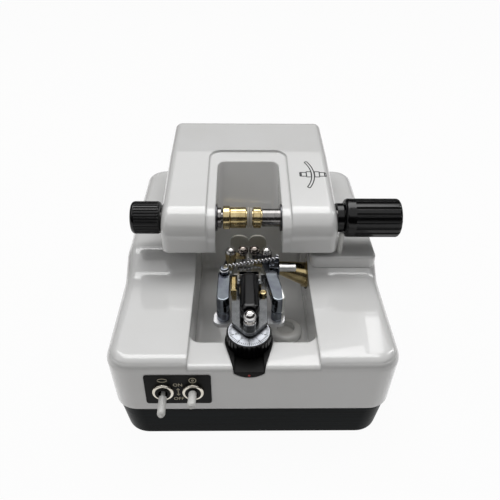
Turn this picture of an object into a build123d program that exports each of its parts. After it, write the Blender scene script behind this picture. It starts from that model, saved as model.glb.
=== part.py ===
from build123d import *

import os
from math import cos, pi, radians, sin, sqrt, tan

# Bench-top lens groover. Millimetres, X to the right, Y to the rear, Z up.
# While it is worked out, X = 0 is the middle of the body and Y = 0 its front face.
# Each piece is then moved so that the origin is the bottom centre of the whole machine.

# Clearances and common walls
FIT = 0.05              # radial play of a shaft in its bush
GAP = 0.3               # room between pieces that move past each other
WALL = 3.0              # moulded wall
ROUND = 1.0             # small edge rounding

# Base body
WIDTH = 206.0           # across the shoulders
FOOT_H = 1.5
FOOT_R = 8.0
FOOT_INSET = 26.0
PAN_H = 30.8
PAN_INSET_SIDE = 5.5    # how far the pan's underside lies inside its rim
PAN_INSET_END = 4.0
PAN_WALL = 2.5
PAN_ROUND = 2.5
SHOULDER_H = 46.4       # seam to the shoulders
DECK_RISE = 11.3        # shoulders to the rear deck
LIP_DROP = 4.7          # shoulders to the front lip
CORNER_R = 18.0
REAR_CORNER_R = 18.0
DRAFT_DEG = 3.0
TOP_ROUND = 9.0
RAMP_Y = 93.0
RAMP_RUN = 22.0
RAMP_ROUND = 18.0
BASIN_W = 91.0
LIP_W = 24.8
LIP_ROUND = 4.5         # the lip's front edge
BASIN_L = 140.0
BASIN_H = 40.0          # lip to the basin's floor
BASIN_R = 8.0
CUP_X = 28.0
CUP_Y = 75.0
CUP_R = 13.4
CUP_BORE_R = 7.2
CUP_H = 6.0
CUP_ROUND = 3.0
BOSS_R = 5.0
SCREW_R = 1.8
SCREW_HEAD_R = 3.4
SCREW_HEAD_H = 2.0

SEAM_Z = FOOT_H + PAN_H
SHOULDER_Z = SEAM_Z + SHOULDER_H
DECK_Z = SHOULDER_Z + DECK_RISE
LIP_Z = SHOULDER_Z - LIP_DROP
FLOOR_Z = LIP_Z - BASIN_H
BASIN_REAR_Y = LIP_W + BASIN_L
TALL = 200.0            # taller than the machine, for cutting tools

# Cover over the grinding motor, on the right of the deck
COVER_X0 = 47.0
COVER_Y0 = 100.0
COVER_L = 86.0
COVER_OVERHANG = 2.2    # past the shell's side at deck height
COVER_T = 6.5
COVER_RISE = 3.0        # above the deck
COVER_R = 6.0
COVER_ROUND = 2.4
HATCH_MARGIN = 9.0

COVER_Z0 = DECK_Z + COVER_RISE - COVER_T
COVER_Z1 = DECK_Z + COVER_RISE

# Switch panel
PANEL_X = -52.3
PANEL_Z = 53.9
PANEL_W = 46.0
PANEL_H = 28.7
PANEL_T = 0.8
PANEL_R = 2.0
SWITCH_PITCH = 20.8
SWITCH_DROP = 1.2       # below the panel's centre
SWITCH_BUSH_R = 5.5
SWITCH_NUT_R = 7.5
SWITCH_NUT_T = 2.2
SWITCH_BODY_W = 13.0
SWITCH_BODY_H = 22.0
SWITCH_BODY_L = 14.0
TERMINAL_PITCH = 7.0
TERMINAL_T = 2.0
LEVER_R = 1.5
LEVER_L = 22.5
SLEEVE_R = 2.8
SLEEVE_L = 14.5
LEVER_THROW_DEG = 13.0
LEVER_BALL_R = 3.0
LEVER_CROSS_R = 0.8     # cross pin through the lever's ball
LEVER_PIVOT_IN = 3.4    # behind the shell's face
BUSH_PROUD = 3.4        # how far the switch bush stands in front of the shell

# Middle plane of the grinding and guiding parts
MID_X = -2.6

# Grinding wheel and its tilted spindle
WHEEL_Y = 108.0
WHEEL_R = 11.0
WHEEL_T = 0.8
WHEEL_TOP_Z = 95.5
TILT_DEG = 16.5
HUB_R = 4.5
HUB_L = 2.4
SPINDLE_R = 2.0
NOSE_R = 3.2
NOSE_START = 8.0        # distances along the spindle from the wheel
CONE_START = 26.0
CONE_R0 = 4.7
CONE_R1 = 9.8
FLANGE_END = 56.0
FLANGE_T = 3.5
FLANGE_R = 11.2
SEAL_T = 1.0
SEAL_R = 12.4
PORT_R = 13.4
TAIL_R = 7.0
MOTOR_R = 15.0
MOTOR_L = 36.0

# Depth dial and its holder
DIAL_X = -3.1
DIAL_Y = 27.3
DIAL_R = 16.0
DIAL_H = 11.5
DIAL_FACE_R = 14.7
DIAL_FACE_T = 0.4
DIAL_RISE = 8.5         # top of the rim above the lip
DIAL_FLUTES = 30
DIAL_FLUTE_R = 0.7
HOLDER_WALL = 0.9
HOLDER_FLOOR = 1.2
HOLDER_FRONT_HALF = 10.3
HOLDER_FRONT_ARC = 15.3
HOLDER_DROP = 3.9       # the front's curve below the holder's floor
LIFT_SCREW_R = 2.0

# Guide carriage
BLOCK_W = 25.0
BLOCK_Y0 = 46.0
BLOCK_L = 44.0
BLOCK_TOP_Z = 66.0
POST_FOOT_Z = 50.0
CARRIAGE_GAP = 1.5      # between the fixed block and the carriage over it
PLATE_GAP = 1.4         # between the dial's face and the guide plate over it
PLATE_T = 2.5
PLATE_W0 = 25.4         # guide plate's width at its front
PLATE_W1 = 27.4         # and at its rear
PLATE_Y0 = 30.0
PLATE_NOSE_Y = 20.6
PLATE_NOSE_R = 5.0
PLATE_HUMP_R = 3.5
POST_R = 2.5
POST_SPRING_R = 4.2     # return springs round the guide posts
POST_SPRING_L = 12.0
EAR_W = 53.4
EAR_Y0 = 46.0
EAR_Y1 = 60.0
EAR_T = 3.5
BRIDGE_Y0 = 79.5
BRIDGE_Y1 = 85.5
BRIDGE_T = 3.0
BRIDGE_LEG = 1.7
BRASS_W = 4.6
BRASS_L = 16.0
BRASS_H = 6.0
COPPER_R = 3.0

# Guide arms
LEFT_PIVOT_X = 19.4     # from the middle plane
RIGHT_PIVOT_X = 21.2
ARM_PIVOT_Y = 53.0
LEFT_REAR_X = 18.9      # the bar's rear end, from the middle plane
RIGHT_REAR_X = 17.0
ARM_R = 4.8             # half the width of an arm's bar
ARM_FRONT_Y = 46.5
ARM_BACK_Y = 82.0
ARM_H = 7.5
ARM_PIN_R = 2.5
ARM_POST_R = 4.9
ARM_BAND_H = 1.2        # groove round the front barrel
ARM_BAND_D = 0.5
TAIL_X = 19.9
TAIL_HALF = 4.0           # half the width of an arm's tail
COLUMN_X = 14.4
COLUMN_Y = 104.0
COLUMN_R = 4.4
COLUMN_H = 8.0
TONGUE_DROP = 5.0       # the tongue's underside below the column's top
DOME_R = 4.0
DOME_H = 4.6
TONGUE_T = 3.0
TONGUE_W = 4.4
ROLLER_X = 4.6
ROLLER_Y = 103.0
ROLLER_R = 4.3
ROLLER_NECK_R = 2.2
ROLLER_PIN_R = 1.2
ROLLER_RISE = 4.0       # the ball's centre above its neck's foot
HOOK_POST_R = 2.8
HOOK_HEAD_R = 3.5
END_POST_R = 1.2
STOP_R = 3.0
STOP_L = 13.0
STOP_IN = 4.0           # behind the tail block's front
STOP_PITCH = 1.25
TAIL_BLOCK_Y0 = 84.0
TAIL_BLOCK_Y1 = 98.0

# Arm spring: a stretched coil, one tube with a loop at each end
SPRING_WIRE = 0.8
SPRING_MEAN_R = 1.2
SPRING_RISE = 0.5       # above the arms
SPRING_TURNS = 9
SPRING_LEAD = 3.0       # from a loop to the first curl

# Guide lever and lock pin
LEVER_W = 14.2
LEVER_LEN = 43.0
LEVER_T = 12.0
LEVER_RISE = 1.4        # above the guide plate
LEVER_PIVOT_Y = 68.5
LEVER_PIN_R = 1.8
LEVER_BITE = 0.9        # room between the lever's end and the lock pin
PIN_Y = 29.0
PIN_R = 1.6
PIN_BALL_R = 4.6
PIN_WAIST_R = 2.5
PIN_H = 13.0
PIN_BOSS_R = 4.4
PIN_BOSS_H = 3.2

# Splash guard behind the wheel
GUARD_Y = 123.0
GUARD_T = 2.0
GUARD_W = 30.0
GUARD_TOP_Z = 98.5
GUARD_HUMP_R = 8.0

# Lens spindle line in the head
CHUCK_Y = 118.0
CHUCK_RISE = 29.3       # above the deck
SEAM_X = -1.95          # where the two lens pads meet
PAD_R = 8.1
PAD_T = 2.0
PAD_GAP = 0.2
NECK_R = 6.4            # the groove behind each pad
NECK_L = 0.7
CHUCK_R = 8.5
LEFT_CHUCK_L = 12.6
COLLAR_R = 9.4
COLLAR_L = 5.9
RIGHT_CHUCK_L = 6.3
CHUCK_SLOTS = 8
CHUCK_SLOT_W = 0.6
CHUCK_SLOT_D = 0.5
RING_R = 8.2
RING_L = 3.2
WASHER_R = 10.8
WASHER_T = 1.2
SHAFT_R = 5.0
QUILL_R = 7.2
INNER_SHAFT_R = 3.5
QUILL_COLLAR_R = 8.8
QUILL_COLLAR_L = 3.0
LEFT_KNOB_R = 13.0
LEFT_KNOB_L = 23.6
LEFT_KNOB_FLUTES = 32
LEFT_FLUTE_R = 0.8
RIGHT_KNOB_R = 15.5
RIGHT_KNOB_L = 44.3
RIGHT_KNOB_FLUTES = 18
RIGHT_FLUTE_R = 1.5
RIGHT_FLUTE_SHARE = 0.82
KNOB_ROUND = 3.0
KNOB_GAP = 0.4
COLLAR_NECK_R = 11.8
COLLAR_NECK_L = 5.6

# Swinging head
HEAD_X = -2.2
HEAD_W = 139.0
HEAD_GAP = 10.0         # deck to the head's underside
HEAD_FRONT = 21.5       # in front of the chucks
HEAD_FRONT_H = 28.5
RIDGE_BACK = 73.0       # behind the chucks
RIDGE_H = 42.0
REAR_H = 46.0
HINGE_BACK = 118.0      # behind the chucks
HINGE_INSET = 22.0      # from the body's rear
HINGE_RISE = 18.0       # above the deck
HEAD_TAIL = 14.0        # behind the hinge
HEAD_FRONT_R = 22.0
HEAD_CREASE_R = 60.0
HEAD_REAR_R = 8.0
HEAD_LEAN = 2.0
REAR_CUT_H = 10.0
BUSH_WALL = 0.6
HEAD_WALL = 2.5
HEAD_SIDE_ROUND = 7.0
NOTCH_W = 52.4
NOTCH_TOP_BACK = 63.0   # behind the chucks
NOTCH_LEAN = 21.0
NOTCH_R = 6.0
LEDGE_SIDE = 7.5
LEDGE_BACK = 12.0
LEDGE_D = 2.2
LEDGE_WALL = 1.5
LEDGE_ROUND = 1.6
LEDGE_R = 11.0
HEAD_COVER_T = 2.5
FRAME_T = 4.0
HINGE_R = 5.0
LUG_R = 6.0
LUG_T = 6.0
LUG_HALF = 21.4
BRACKET_T = 4.0
BRACKET_L = 24.0
BRACKET_Y0 = 12.0       # in front of the hinge
COVER_END = 10.0        # the head's bottom cover ends in front of the hinge

# Belt drive of the lens spindle
PULLEY_SIDE = 4.2       # between the left frame plate and the pulleys
PULLEY_W = 5.0
SPINDLE_PULLEY_R = 6.2
MOTOR_PULLEY_R = 5.0
PULLEY_RIM = 1.5
BELT_T = 1.0
LENS_MOTOR_AHEAD = 34.0 # in front of the hinge
LENS_MOTOR_RISE = 2.0
LENS_MOTOR_R = 15.0
LENS_MOTOR_L = 48.0
LENS_SHAFT_R = 2.5

# Head rest post
REST_OUT = 3.9          # from the head's right side
REST_Y = 107.0
REST_R = 2.1

# Electrical pieces in the base
TRANSFORMER = (44.0, 50.0, 42.0)
TRANSFORMER_X = -56.0
BOARD = (52.0, 50.0, 1.6)
BOARD_X = 48.0
SUPPLY_REAR_Y = 30.0    # from the body's rear
BOARD_STAND = 6.0
INLET = (30.0, 22.0, 24.0)
INLET_X = -42.0
PIN_HALF = 2.0          # half the height of the inlet's contact pins
FUSE_X = -8.0
FUSE_R = 6.0
FUSE_L = 22.0
REAR_FITTING_Z = 56.0
REAR_PROUD = 3.0

# Worked-out places
HINGE_Y = CHUCK_Y + HINGE_BACK
DEPTH = HINGE_Y + HINGE_INSET
HINGE_Z = DECK_Z + HINGE_RISE
CHUCK_Z = DECK_Z + CHUCK_RISE
HEAD_Z = DECK_Z + HEAD_GAP
HEAD_Y0 = CHUCK_Y - HEAD_FRONT
HEAD_Y1 = HINGE_Y + HEAD_TAIL
HEAD_X0 = HEAD_X - HEAD_W / 2
HEAD_X1 = HEAD_X + HEAD_W / 2
REST_X = HEAD_X1 + REST_OUT
NOTCH_X0 = MID_X - NOTCH_W / 2
NOTCH_X1 = MID_X + NOTCH_W / 2
DIAL_TOP_Z = LIP_Z + DIAL_RISE
DIAL_Z0 = DIAL_TOP_Z - DIAL_H
PLATE_Z0 = DIAL_TOP_Z + DIAL_FACE_T + PLATE_GAP
PLATE_Z1 = PLATE_Z0 + PLATE_T
CARRIAGE_Z0 = BLOCK_TOP_Z + CARRIAGE_GAP
BLOCK_Y1 = BLOCK_Y0 + BLOCK_L
ARM_Z0 = PLATE_Z1 + 0.6
TAIL_Z0 = PLATE_Z0 - 0.2
WHEEL_X = MID_X - WHEEL_R * sin(radians(TILT_DEG))
WHEEL_Z = WHEEL_TOP_Z - WHEEL_R * cos(radians(TILT_DEG))
SPINDLE_DIR = (cos(radians(TILT_DEG)), 0, -sin(radians(TILT_DEG)))
RIGHT_END = HEAD_X1 + COLLAR_NECK_L + KNOB_GAP + RIGHT_KNOB_L
ORIGIN_X = (RIGHT_END - WIDTH / 2) / 2
ORIGIN_Y = (DEPTH + REAR_PROUD + LEVER_PIVOT_IN - LEVER_L) / 2

# Values that follow from the ones above
SWITCH_Z = PANEL_Z - SWITCH_DROP
SPRING_Z = ARM_Z0 + ARM_H + SPRING_MEAN_R + SPRING_WIRE / 2 + SPRING_RISE
STOP_Y = TAIL_BLOCK_Y0 + STOP_IN
STOP_Z = ARM_Z0 + ARM_H - STOP_R
TONGUE_Z = ARM_Z0 + COLUMN_H - TONGUE_DROP
LEVER_PIVOT_Z = PLATE_Z1 + LEVER_T / 2 + LEVER_RISE
LENS_MOTOR_Y = HINGE_Y - LENS_MOTOR_AHEAD
LENS_MOTOR_Z = CHUCK_Z + LENS_MOTOR_RISE
COVER_END_Y = HINGE_Y - COVER_END


def block(x0, x1, y0, y1, z0, z1):
    """A box between two corners."""
    return Pos((x0 + x1) / 2, (y0 + y1) / 2, (z0 + z1) / 2) * Box(x1 - x0, y1 - y0, z1 - z0)


def rod_x(r, x0, x1, y, z):
    """A round bar along X."""
    return Pos((x0 + x1) / 2, y, z) * Rot(0, 90, 0) * Cylinder(r, x1 - x0)


def rod_y(r, y0, y1, x, z):
    """A round bar along Y."""
    return Pos(x, (y0 + y1) / 2, z) * Rot(90, 0, 0) * Cylinder(r, y1 - y0)


def rod_z(r, z0, z1, x, y):
    """A round bar along Z."""
    return Pos(x, y, (z0 + z1) / 2) * Cylinder(r, z1 - z0)


def edges_where(shape, test):
    """The edges whose middle passes a test."""
    return shape.edges().filter_by(lambda edge: test(edge.position_at(0.5)))


def side_plane(x):
    """A plane whose sketch X is the machine's Y, and whose sketch Y is its Z."""
    return Plane(origin=(x, 0, 0), x_dir=(0, 1, 0), z_dir=(1, 0, 0))


def along_x(face, x0, x1):
    """A side-view face drawn in Y and Z, made thick from x0 to x1."""
    return extrude(side_plane(x0) * face, x1 - x0, dir=(1, 0, 0))


def half_width(z, inset=0.0):
    """Half of the body's drafted width at one height."""
    return WIDTH / 2 - (SHOULDER_Z - z) * tan(radians(DRAFT_DEG)) - inset


def rounded_wedge(x0, x1, z0, z1, y0, y1, front_r, rear_r):
    """A block with drafted sides: half widths x0 at z0 and x1 at z1, corners rounded."""
    front = Plane(origin=(0, y0, 0), x_dir=(1, 0, 0), z_dir=(0, -1, 0))
    face = Polygon((-x0, z0), (x0, z0), (x1, z1), (-x1, z1), align=None)
    wedge = extrude(front * face, y1 - y0, dir=(0, 1, 0))
    middle = (z0 + z1) / 2
    wedge = fillet(edges_where(wedge, lambda p: abs(p.Z - middle) < 1 and p.Y < y0 + 1), front_r)
    return fillet(edges_where(wedge, lambda p: abs(p.Z - middle) < 1 and p.Y > y1 - 1), rear_r)


def body_block(inset=0.0):
    """The body's drafted block, from the seam to above the deck."""
    z0 = SEAM_Z
    z1 = DECK_Z + TOP_ROUND
    return rounded_wedge(
        half_width(z0, inset),
        half_width(z1, inset),
        z0,
        z1,
        inset,
        DEPTH - inset,
        CORNER_R - inset,
        REAR_CORNER_R - inset,
    )


def top_profile(drop=0.0):
    """What lies under the shoulder, ramp and deck, as a side view."""
    y0 = -RAMP_ROUND
    y1 = DEPTH + RAMP_ROUND
    ramp_end = RAMP_Y + RAMP_RUN
    top = FilletPolyline(
        (y0, SHOULDER_Z - drop),
        (RAMP_Y, SHOULDER_Z - drop),
        (ramp_end, DECK_Z - drop),
        (y1, DECK_Z - drop),
        radius=RAMP_ROUND,
    )
    rest = Polyline((y1, DECK_Z - drop), (y1, 0), (y0, 0), (y0, SHOULDER_Z - drop))
    return make_face(top.edges() + rest.edges())


def spindle_place(distance):
    """A place on the grinding spindle's axis, its local Z along the axis to the motor."""
    x = WHEEL_X + distance * SPINDLE_DIR[0]
    z = WHEEL_Z + distance * SPINDLE_DIR[2]
    return Plane(origin=(x, WHEEL_Y, z), x_dir=(0, 1, 0), z_dir=SPINDLE_DIR)


def on_spindle(r, start, end):
    """A round bar on the grinding spindle's axis."""
    return extrude(spindle_place(start) * Circle(r), end - start)


def holder_plan(r, half, front):
    """The dial holder seen from above: a circle drawn out to a narrower front."""
    lean = radians(20)
    side_x = r * cos(lean)
    side_y = -r * sin(lean)
    funnel = Polygon(
        (-side_x, side_y),
        (-half, front - DIAL_Y),
        (half, front - DIAL_Y),
        (side_x, side_y),
        align=None,
    )
    return Pos(DIAL_X, DIAL_Y, 0) * (Circle(r) + funnel)


def holder_space(grow):
    """The holder's outside, or the pocket for it in the lip."""
    r = DIAL_R + GAP + HOLDER_WALL + grow
    half = HOLDER_FRONT_HALF + grow
    floor = DIAL_Z0 - GAP - HOLDER_FLOOR
    upper = extrude(Pos(0, 0, floor - grow) * holder_plan(r, half, -grow), LIP_Z - floor + 2 * grow)
    arc_z = floor - HOLDER_DROP + HOLDER_FRONT_ARC
    depth = DIAL_Y - DIAL_R
    bar = rod_y(HOLDER_FRONT_ARC + grow, -grow, depth + grow, DIAL_X, arc_z)
    return upper + (bar & block(DIAL_X - half, DIAL_X + half, -grow, depth + grow, 0, floor))


def basin(grow=0.0):
    """The basin's hollow, or with its walls when grown."""
    half = BASIN_W / 2 + grow
    space = block(-half, half, LIP_W - grow, BASIN_REAR_Y + grow, FLOOR_Z - grow, TALL)
    space = fillet(space.edges().filter_by(Axis.Z), BASIN_R + grow)
    return fillet(edges_where(space, lambda p: p.Z < FLOOR_Z + ROUND), BASIN_R / 2 + grow)


def lip_space():
    """What is cut away above the front lip, whose front edge is rounded."""
    half = BASIN_W / 2
    y1 = LIP_W + BASIN_R
    sky = Polygon((-TOP_ROUND, FLOOR_Z), (y1, FLOOR_Z), (y1, TALL), (-TOP_ROUND, TALL), align=None)
    lip = Polygon((0, 0), (y1, 0), (y1, LIP_Z), (0, LIP_Z), align=None)
    lip = fillet(lip.vertices().sort_by_distance((0, LIP_Z, 0))[0], LIP_ROUND)
    return along_x(sky - lip, -half, half)


def base_pan():
    """Open tray under the shell, with bosses for the screws."""
    def tray(inset):
        top = half_width(SEAM_Z, inset + ROUND / 2)
        bottom = half_width(SEAM_Z, inset + PAN_INSET_SIDE)
        y0 = PAN_INSET_END / 2 + inset
        z0 = FOOT_H + inset
        return rounded_wedge(bottom, top, z0, SEAM_Z, y0, DEPTH - y0, CORNER_R - inset, CORNER_R - inset)

    outer = tray(0)
    outer = fillet(edges_where(outer, lambda p: p.Z < FOOT_H + 0.1), PAN_ROUND)
    pan = outer - tray(PAN_WALL)
    for x, y in screw_places():
        pan += rod_z(BOSS_R, FOOT_H + PAN_WALL / 2, SEAM_Z, x, y)
        pan -= rod_z(SCREW_R + GAP, 0, SEAM_Z + GAP, x, y)
        pan -= rod_z(SCREW_HEAD_R + GAP, 0, FOOT_H + SCREW_HEAD_H, x, y)
    return pan


def screw_places():
    """Where the four body screws stand."""
    x = WIDTH / 2 - FOOT_INSET / 2 - BOSS_R
    return [(sx * x, y) for sx in (-1, 1) for y in (FOOT_INSET, DEPTH - FOOT_INSET)]


def foot_places():
    """Where the four feet stand."""
    x = WIDTH / 2 - 2 * FOOT_INSET
    return [(sx * x, y) for sx in (-1, 1) for y in (FOOT_INSET, DEPTH - FOOT_INSET)]


def rubber_feet():
    """Four round feet under the pan."""
    foot = Cylinder(FOOT_R, FOOT_H)
    foot = chamfer(foot.edges().group_by(Axis.Z)[0], FOOT_H / 3)
    return [Pos(x, y, FOOT_H / 2) * foot for x, y in foot_places()]


def top_shell():
    """The moulded top: shoulders, deck, lip and basin in one hollow piece."""
    outer = body_block() & along_x(top_profile(), -WIDTH, WIDTH)
    loop = edges_where(outer, lambda p: p.Z > SHOULDER_Z - ROUND and not interior_line(p))
    outer = fillet(loop, TOP_ROUND)
    hollow = body_block(WALL) & along_x(top_profile(WALL), -WIDTH, WIDTH)
    half = BASIN_W / 2
    hollow -= basin(WALL)
    hollow -= block(-half - WALL, half + WALL, -1, LIP_W + BASIN_R, LIP_Z - WALL, TALL)
    hollow -= on_spindle(PORT_R + WALL, 0, FLANGE_END + SEAL_T + WALL)
    hollow -= block(COVER_X0 - WALL, WIDTH, COVER_Y0, COVER_Y0 + COVER_L + WALL, COVER_Z0 - WALL, TALL)
    hollow -= holder_space(GAP + WALL)
    for x, y in screw_places():
        rib_x = sorted((x, x + WIDTH / 2 * x / abs(x)))
        hollow -= rod_z(BOSS_R, SEAM_Z, SEAM_Z + 2 * BOSS_R, x, y)
        hollow -= block(*rib_x, y - WALL / 2, y + WALL / 2, SEAM_Z, SEAM_Z + 2 * BOSS_R)
    shell = outer - hollow
    shell -= block(COVER_X0, WIDTH, COVER_Y0, COVER_Y0 + COVER_L + GAP, COVER_Z0, TALL)
    shell -= lip_space()
    shell -= basin()
    shell -= on_spindle(PORT_R, 0, FLANGE_END + SEAL_T)
    shell -= on_spindle(TAIL_R + GAP, 0, FLANGE_END + 3 * WALL)
    shell -= on_spindle(MOTOR_R + GAP, motor_start(), motor_start() + MOTOR_L)
    hatch = HATCH_MARGIN
    shell -= block(
        COVER_X0 + hatch,
        WIDTH / 2 - WALL - hatch,
        COVER_Y0 + RAMP_RUN / 3 + hatch,
        COVER_Y0 + COVER_L - hatch,
        COVER_Z0 - 2 * WALL,
        TALL,
    )
    shell -= holder_space(GAP)
    for x in switch_places():
        shell -= rod_y(SWITCH_BUSH_R + GAP / 2, -1, WALL + 1, x, PANEL_Z - SWITCH_DROP)
    for x, y in screw_places():
        shell -= rod_z(SCREW_R, SEAM_Z - 1, SEAM_Z + BOSS_R + GAP, x, y)
    for x, y in bracket_screw_places():
        shell -= rod_z(SCREW_R, DECK_Z - 2 * WALL, TALL, x, y)
    shell -= inlet_space(GAP)
    shell -= rod_y(FUSE_R + GAP, DEPTH - 2 * WALL, DEPTH + 1, FUSE_X, REAR_FITTING_Z)
    return shell


def interior_line(p):
    """True for the lines across the top where the ramp meets its neighbours."""
    return abs(p.X) < 1 and TOP_ROUND < p.Y < DEPTH - TOP_ROUND


def switch_places():
    """The two toggle switches' X places."""
    return [PANEL_X - SWITCH_PITCH / 2, PANEL_X + SWITCH_PITCH / 2]


def inlet_space(grow):
    """The mains inlet's body, or the hole for it."""
    w, depth, h = INLET
    half_h = h / 2 + grow
    return block(
        INLET_X - w / 2 - grow,
        INLET_X + w / 2 + grow,
        DEPTH - depth,
        DEPTH + grow,
        REAR_FITTING_Z - half_h,
        REAR_FITTING_Z + half_h,
    )


def drain_cup():
    """Round cup on the basin's floor."""
    cup = rod_z(CUP_R, FLOOR_Z, FLOOR_Z + CUP_H, CUP_X, CUP_Y)
    cup = fillet(cup.edges().group_by(Axis.Z)[-1], CUP_ROUND)
    return cup - rod_z(CUP_BORE_R, FLOOR_Z + ROUND, TALL, CUP_X, CUP_Y)


def motor_cover():
    """Raised cover over the grinding motor, following the ramp at its front."""
    x1 = WIDTH / 2 - COVER_OVERHANG
    y1 = COVER_Y0 + COVER_L
    cover = block(COVER_X0, x1, COVER_Y0, y1, SHOULDER_Z, COVER_Z1)
    cover = fillet(cover.edges().filter_by(Axis.Z), COVER_R)
    cover = fillet(edges_where(cover, lambda p: p.Z > COVER_Z1 - 0.1), COVER_ROUND)
    under = along_x(top_profile(), -WIDTH, WIDTH) & block(-WIDTH, WIDTH, 0, DEPTH, 0, COVER_Z0)
    room = block(
        COVER_X0 + HATCH_MARGIN,
        x1 - HATCH_MARGIN,
        COVER_Y0 + RAMP_RUN,
        y1 - HATCH_MARGIN,
        0,
        COVER_Z1 - WALL,
    )
    return cover - under - room


def motor_start():
    """Where the grinding motor's face stands along the spindle."""
    return FLANGE_END + SEAL_T + WALL


def wheel_motor():
    """Grinding motor behind the basin's right wall."""
    motor = on_spindle(MOTOR_R, motor_start(), motor_start() + MOTOR_L)
    motor = fillet(motor.edges().filter_by(GeomType.CIRCLE), ROUND)
    motor += on_spindle(MOTOR_R / 3, motor_start() + MOTOR_L - ROUND, motor_start() + MOTOR_L + WALL)
    motor -= on_spindle(TAIL_R + GAP, motor_start() - 1, motor_start() + WALL)
    return motor - on_spindle(SPINDLE_R + GAP, 0, motor_start() + MOTOR_L / 3)


def spindle_housing():
    """Brass housing of the grinding spindle, with its nose, cone and flange."""
    flange_start = FLANGE_END - FLANGE_T
    nose = on_spindle(NOSE_R, NOSE_START, CONE_START)
    cone = loft([spindle_place(CONE_START) * Circle(CONE_R0), spindle_place(flange_start) * Circle(CONE_R1)])
    flange = on_spindle(FLANGE_R, flange_start, FLANGE_END)
    tail = on_spindle(TAIL_R, FLANGE_END, motor_start() + WALL - GAP)
    return nose + cone + flange + tail - on_spindle(SPINDLE_R + FIT, 0, TALL)


def spindle_seal():
    """Dark ring between the flange and the basin's wall."""
    return on_spindle(SEAL_R, FLANGE_END, FLANGE_END + SEAL_T) - on_spindle(TAIL_R + FIT, 0, TALL)


def splash_guard():
    """Upright plate behind the wheel, its top two humps with a slit between."""
    half = GUARD_W / 2
    base = GUARD_TOP_Z - GUARD_HUMP_R
    plate = Pos(MID_X, GUARD_Y, (base + FLOOR_Z) / 2) * Box(2 * half, GUARD_T, base - FLOOR_Z)
    front = Plane(origin=(0, GUARD_Y + GUARD_T / 2, 0), x_dir=(1, 0, 0), z_dir=(0, -1, 0))
    top = Sketch()
    for x in (MID_X - half / 2, MID_X + half / 2):
        hump = Pos(x, base) * Rectangle(half, 2 * GUARD_HUMP_R)
        top += fillet(hump.vertices(), GUARD_HUMP_R * 0.8)
    return plate + extrude(front * top, GUARD_T)


def rest_top():
    """Height of the rest post's round top, just clear of the clamp's neck."""
    reach = COLLAR_NECK_R + GAP + REST_R
    return CHUCK_Z - sqrt(reach**2 - (CHUCK_Y - REST_Y) ** 2) + REST_R


def head_rest_post():
    """Round-topped post on the motor cover, under the neck of the head."""
    post = rod_z(REST_R, COVER_Z1, rest_top() - REST_R, REST_X, REST_Y)
    return post + Pos(REST_X, REST_Y, rest_top() - REST_R) * Sphere(REST_R)


def switch_plate():
    """Plate round the two toggle switches."""
    plate = block(
        PANEL_X - PANEL_W / 2,
        PANEL_X + PANEL_W / 2,
        -PANEL_T,
        0,
        PANEL_Z - PANEL_H / 2,
        PANEL_Z + PANEL_H / 2,
    )
    plate = fillet(plate.edges().filter_by(Axis.Y), PANEL_R)
    for x in switch_places():
        plate -= rod_y(SWITCH_BUSH_R + GAP / 2, -1, 1, x, SWITCH_Z)
    return plate


def toggle_switches():
    """Two switch bodies with their threaded bushes, behind the shell's front wall."""
    bodies = []
    y1 = WALL + SWITCH_BODY_L
    bore = LEVER_BALL_R + GAP
    for x in switch_places():
        half = SWITCH_BODY_W / 2
        body = block(x - half, x + half, WALL, y1, SWITCH_Z - SWITCH_BODY_H / 2, SWITCH_Z + SWITCH_BODY_H / 2)
        body += rod_y(SWITCH_BUSH_R, -BUSH_PROUD, WALL, x, SWITCH_Z)
        body -= rod_y(bore, -TALL, LEVER_PIVOT_IN + bore, x, SWITCH_Z)
        for side in (-1, 0, 1):
            z = SWITCH_Z + side * TERMINAL_PITCH
            body += block(x - ROUND, x + ROUND, y1, y1 + WALL, z - TERMINAL_T / 2, z + TERMINAL_T / 2)
        bodies.append(body)
    return bodies


def switch_nuts():
    """Round dress nuts that hold the switches to the plate."""
    nuts = []
    y0 = -PANEL_T - SWITCH_NUT_T
    for x in switch_places():
        nut = rod_y(SWITCH_NUT_R, y0, -PANEL_T, x, SWITCH_Z)
        nut = fillet(nut.edges().group_by(Axis.Y)[0], ROUND)
        nuts.append(nut - rod_y(SWITCH_BUSH_R + FIT, -TALL, 1, x, SWITCH_Z))
    return nuts


def toggle(x, tilt):
    """A switch lever with its ball and its sleeve, tilted up by some degrees."""
    ball = Sphere(LEVER_BALL_R)
    lever = Pos(0, -LEVER_L / 2, 0) * Rot(90, 0, 0) * Cylinder(LEVER_R, LEVER_L)
    sleeve = Pos(0, -LEVER_L + SLEEVE_L / 2, 0) * Rot(90, 0, 0) * Cylinder(SLEEVE_R, SLEEVE_L)
    sleeve = fillet(sleeve.edges().group_by(Axis.Y)[0], SLEEVE_R * 0.9)
    sleeve = fillet(sleeve.edges().group_by(Axis.Y)[-1], ROUND / 2)
    cross = Rot(0, 90, 0) * Cylinder(LEVER_CROSS_R, 2 * LEVER_BALL_R + GAP)
    whole = ball + lever + sleeve + cross
    return Pos(x, LEVER_PIVOT_IN, SWITCH_Z) * Rot(-tilt, 0, 0) * whole


def lens_toggle():
    """Left lever, down at rest."""
    return toggle(switch_places()[0], -LEVER_THROW_DEG)


def wheel_toggle():
    """Right lever, up at rest."""
    return toggle(switch_places()[1], LEVER_THROW_DEG)


def dial_holder():
    """Cradle of the depth dial, let into the lip, with its front tongue."""
    holder = holder_space(0)
    floor = DIAL_Z0 - GAP
    half = HOLDER_FRONT_HALF
    holder -= rod_z(DIAL_R + GAP, floor, TALL, DIAL_X, DIAL_Y)
    holder -= block(DIAL_X - half, DIAL_X + half, -WALL, DIAL_Y, floor, TALL)
    holder -= rod_z(LIFT_SCREW_R + GAP, 0, TALL, DIAL_X, DIAL_Y)
    return holder - lip_space()


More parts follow.
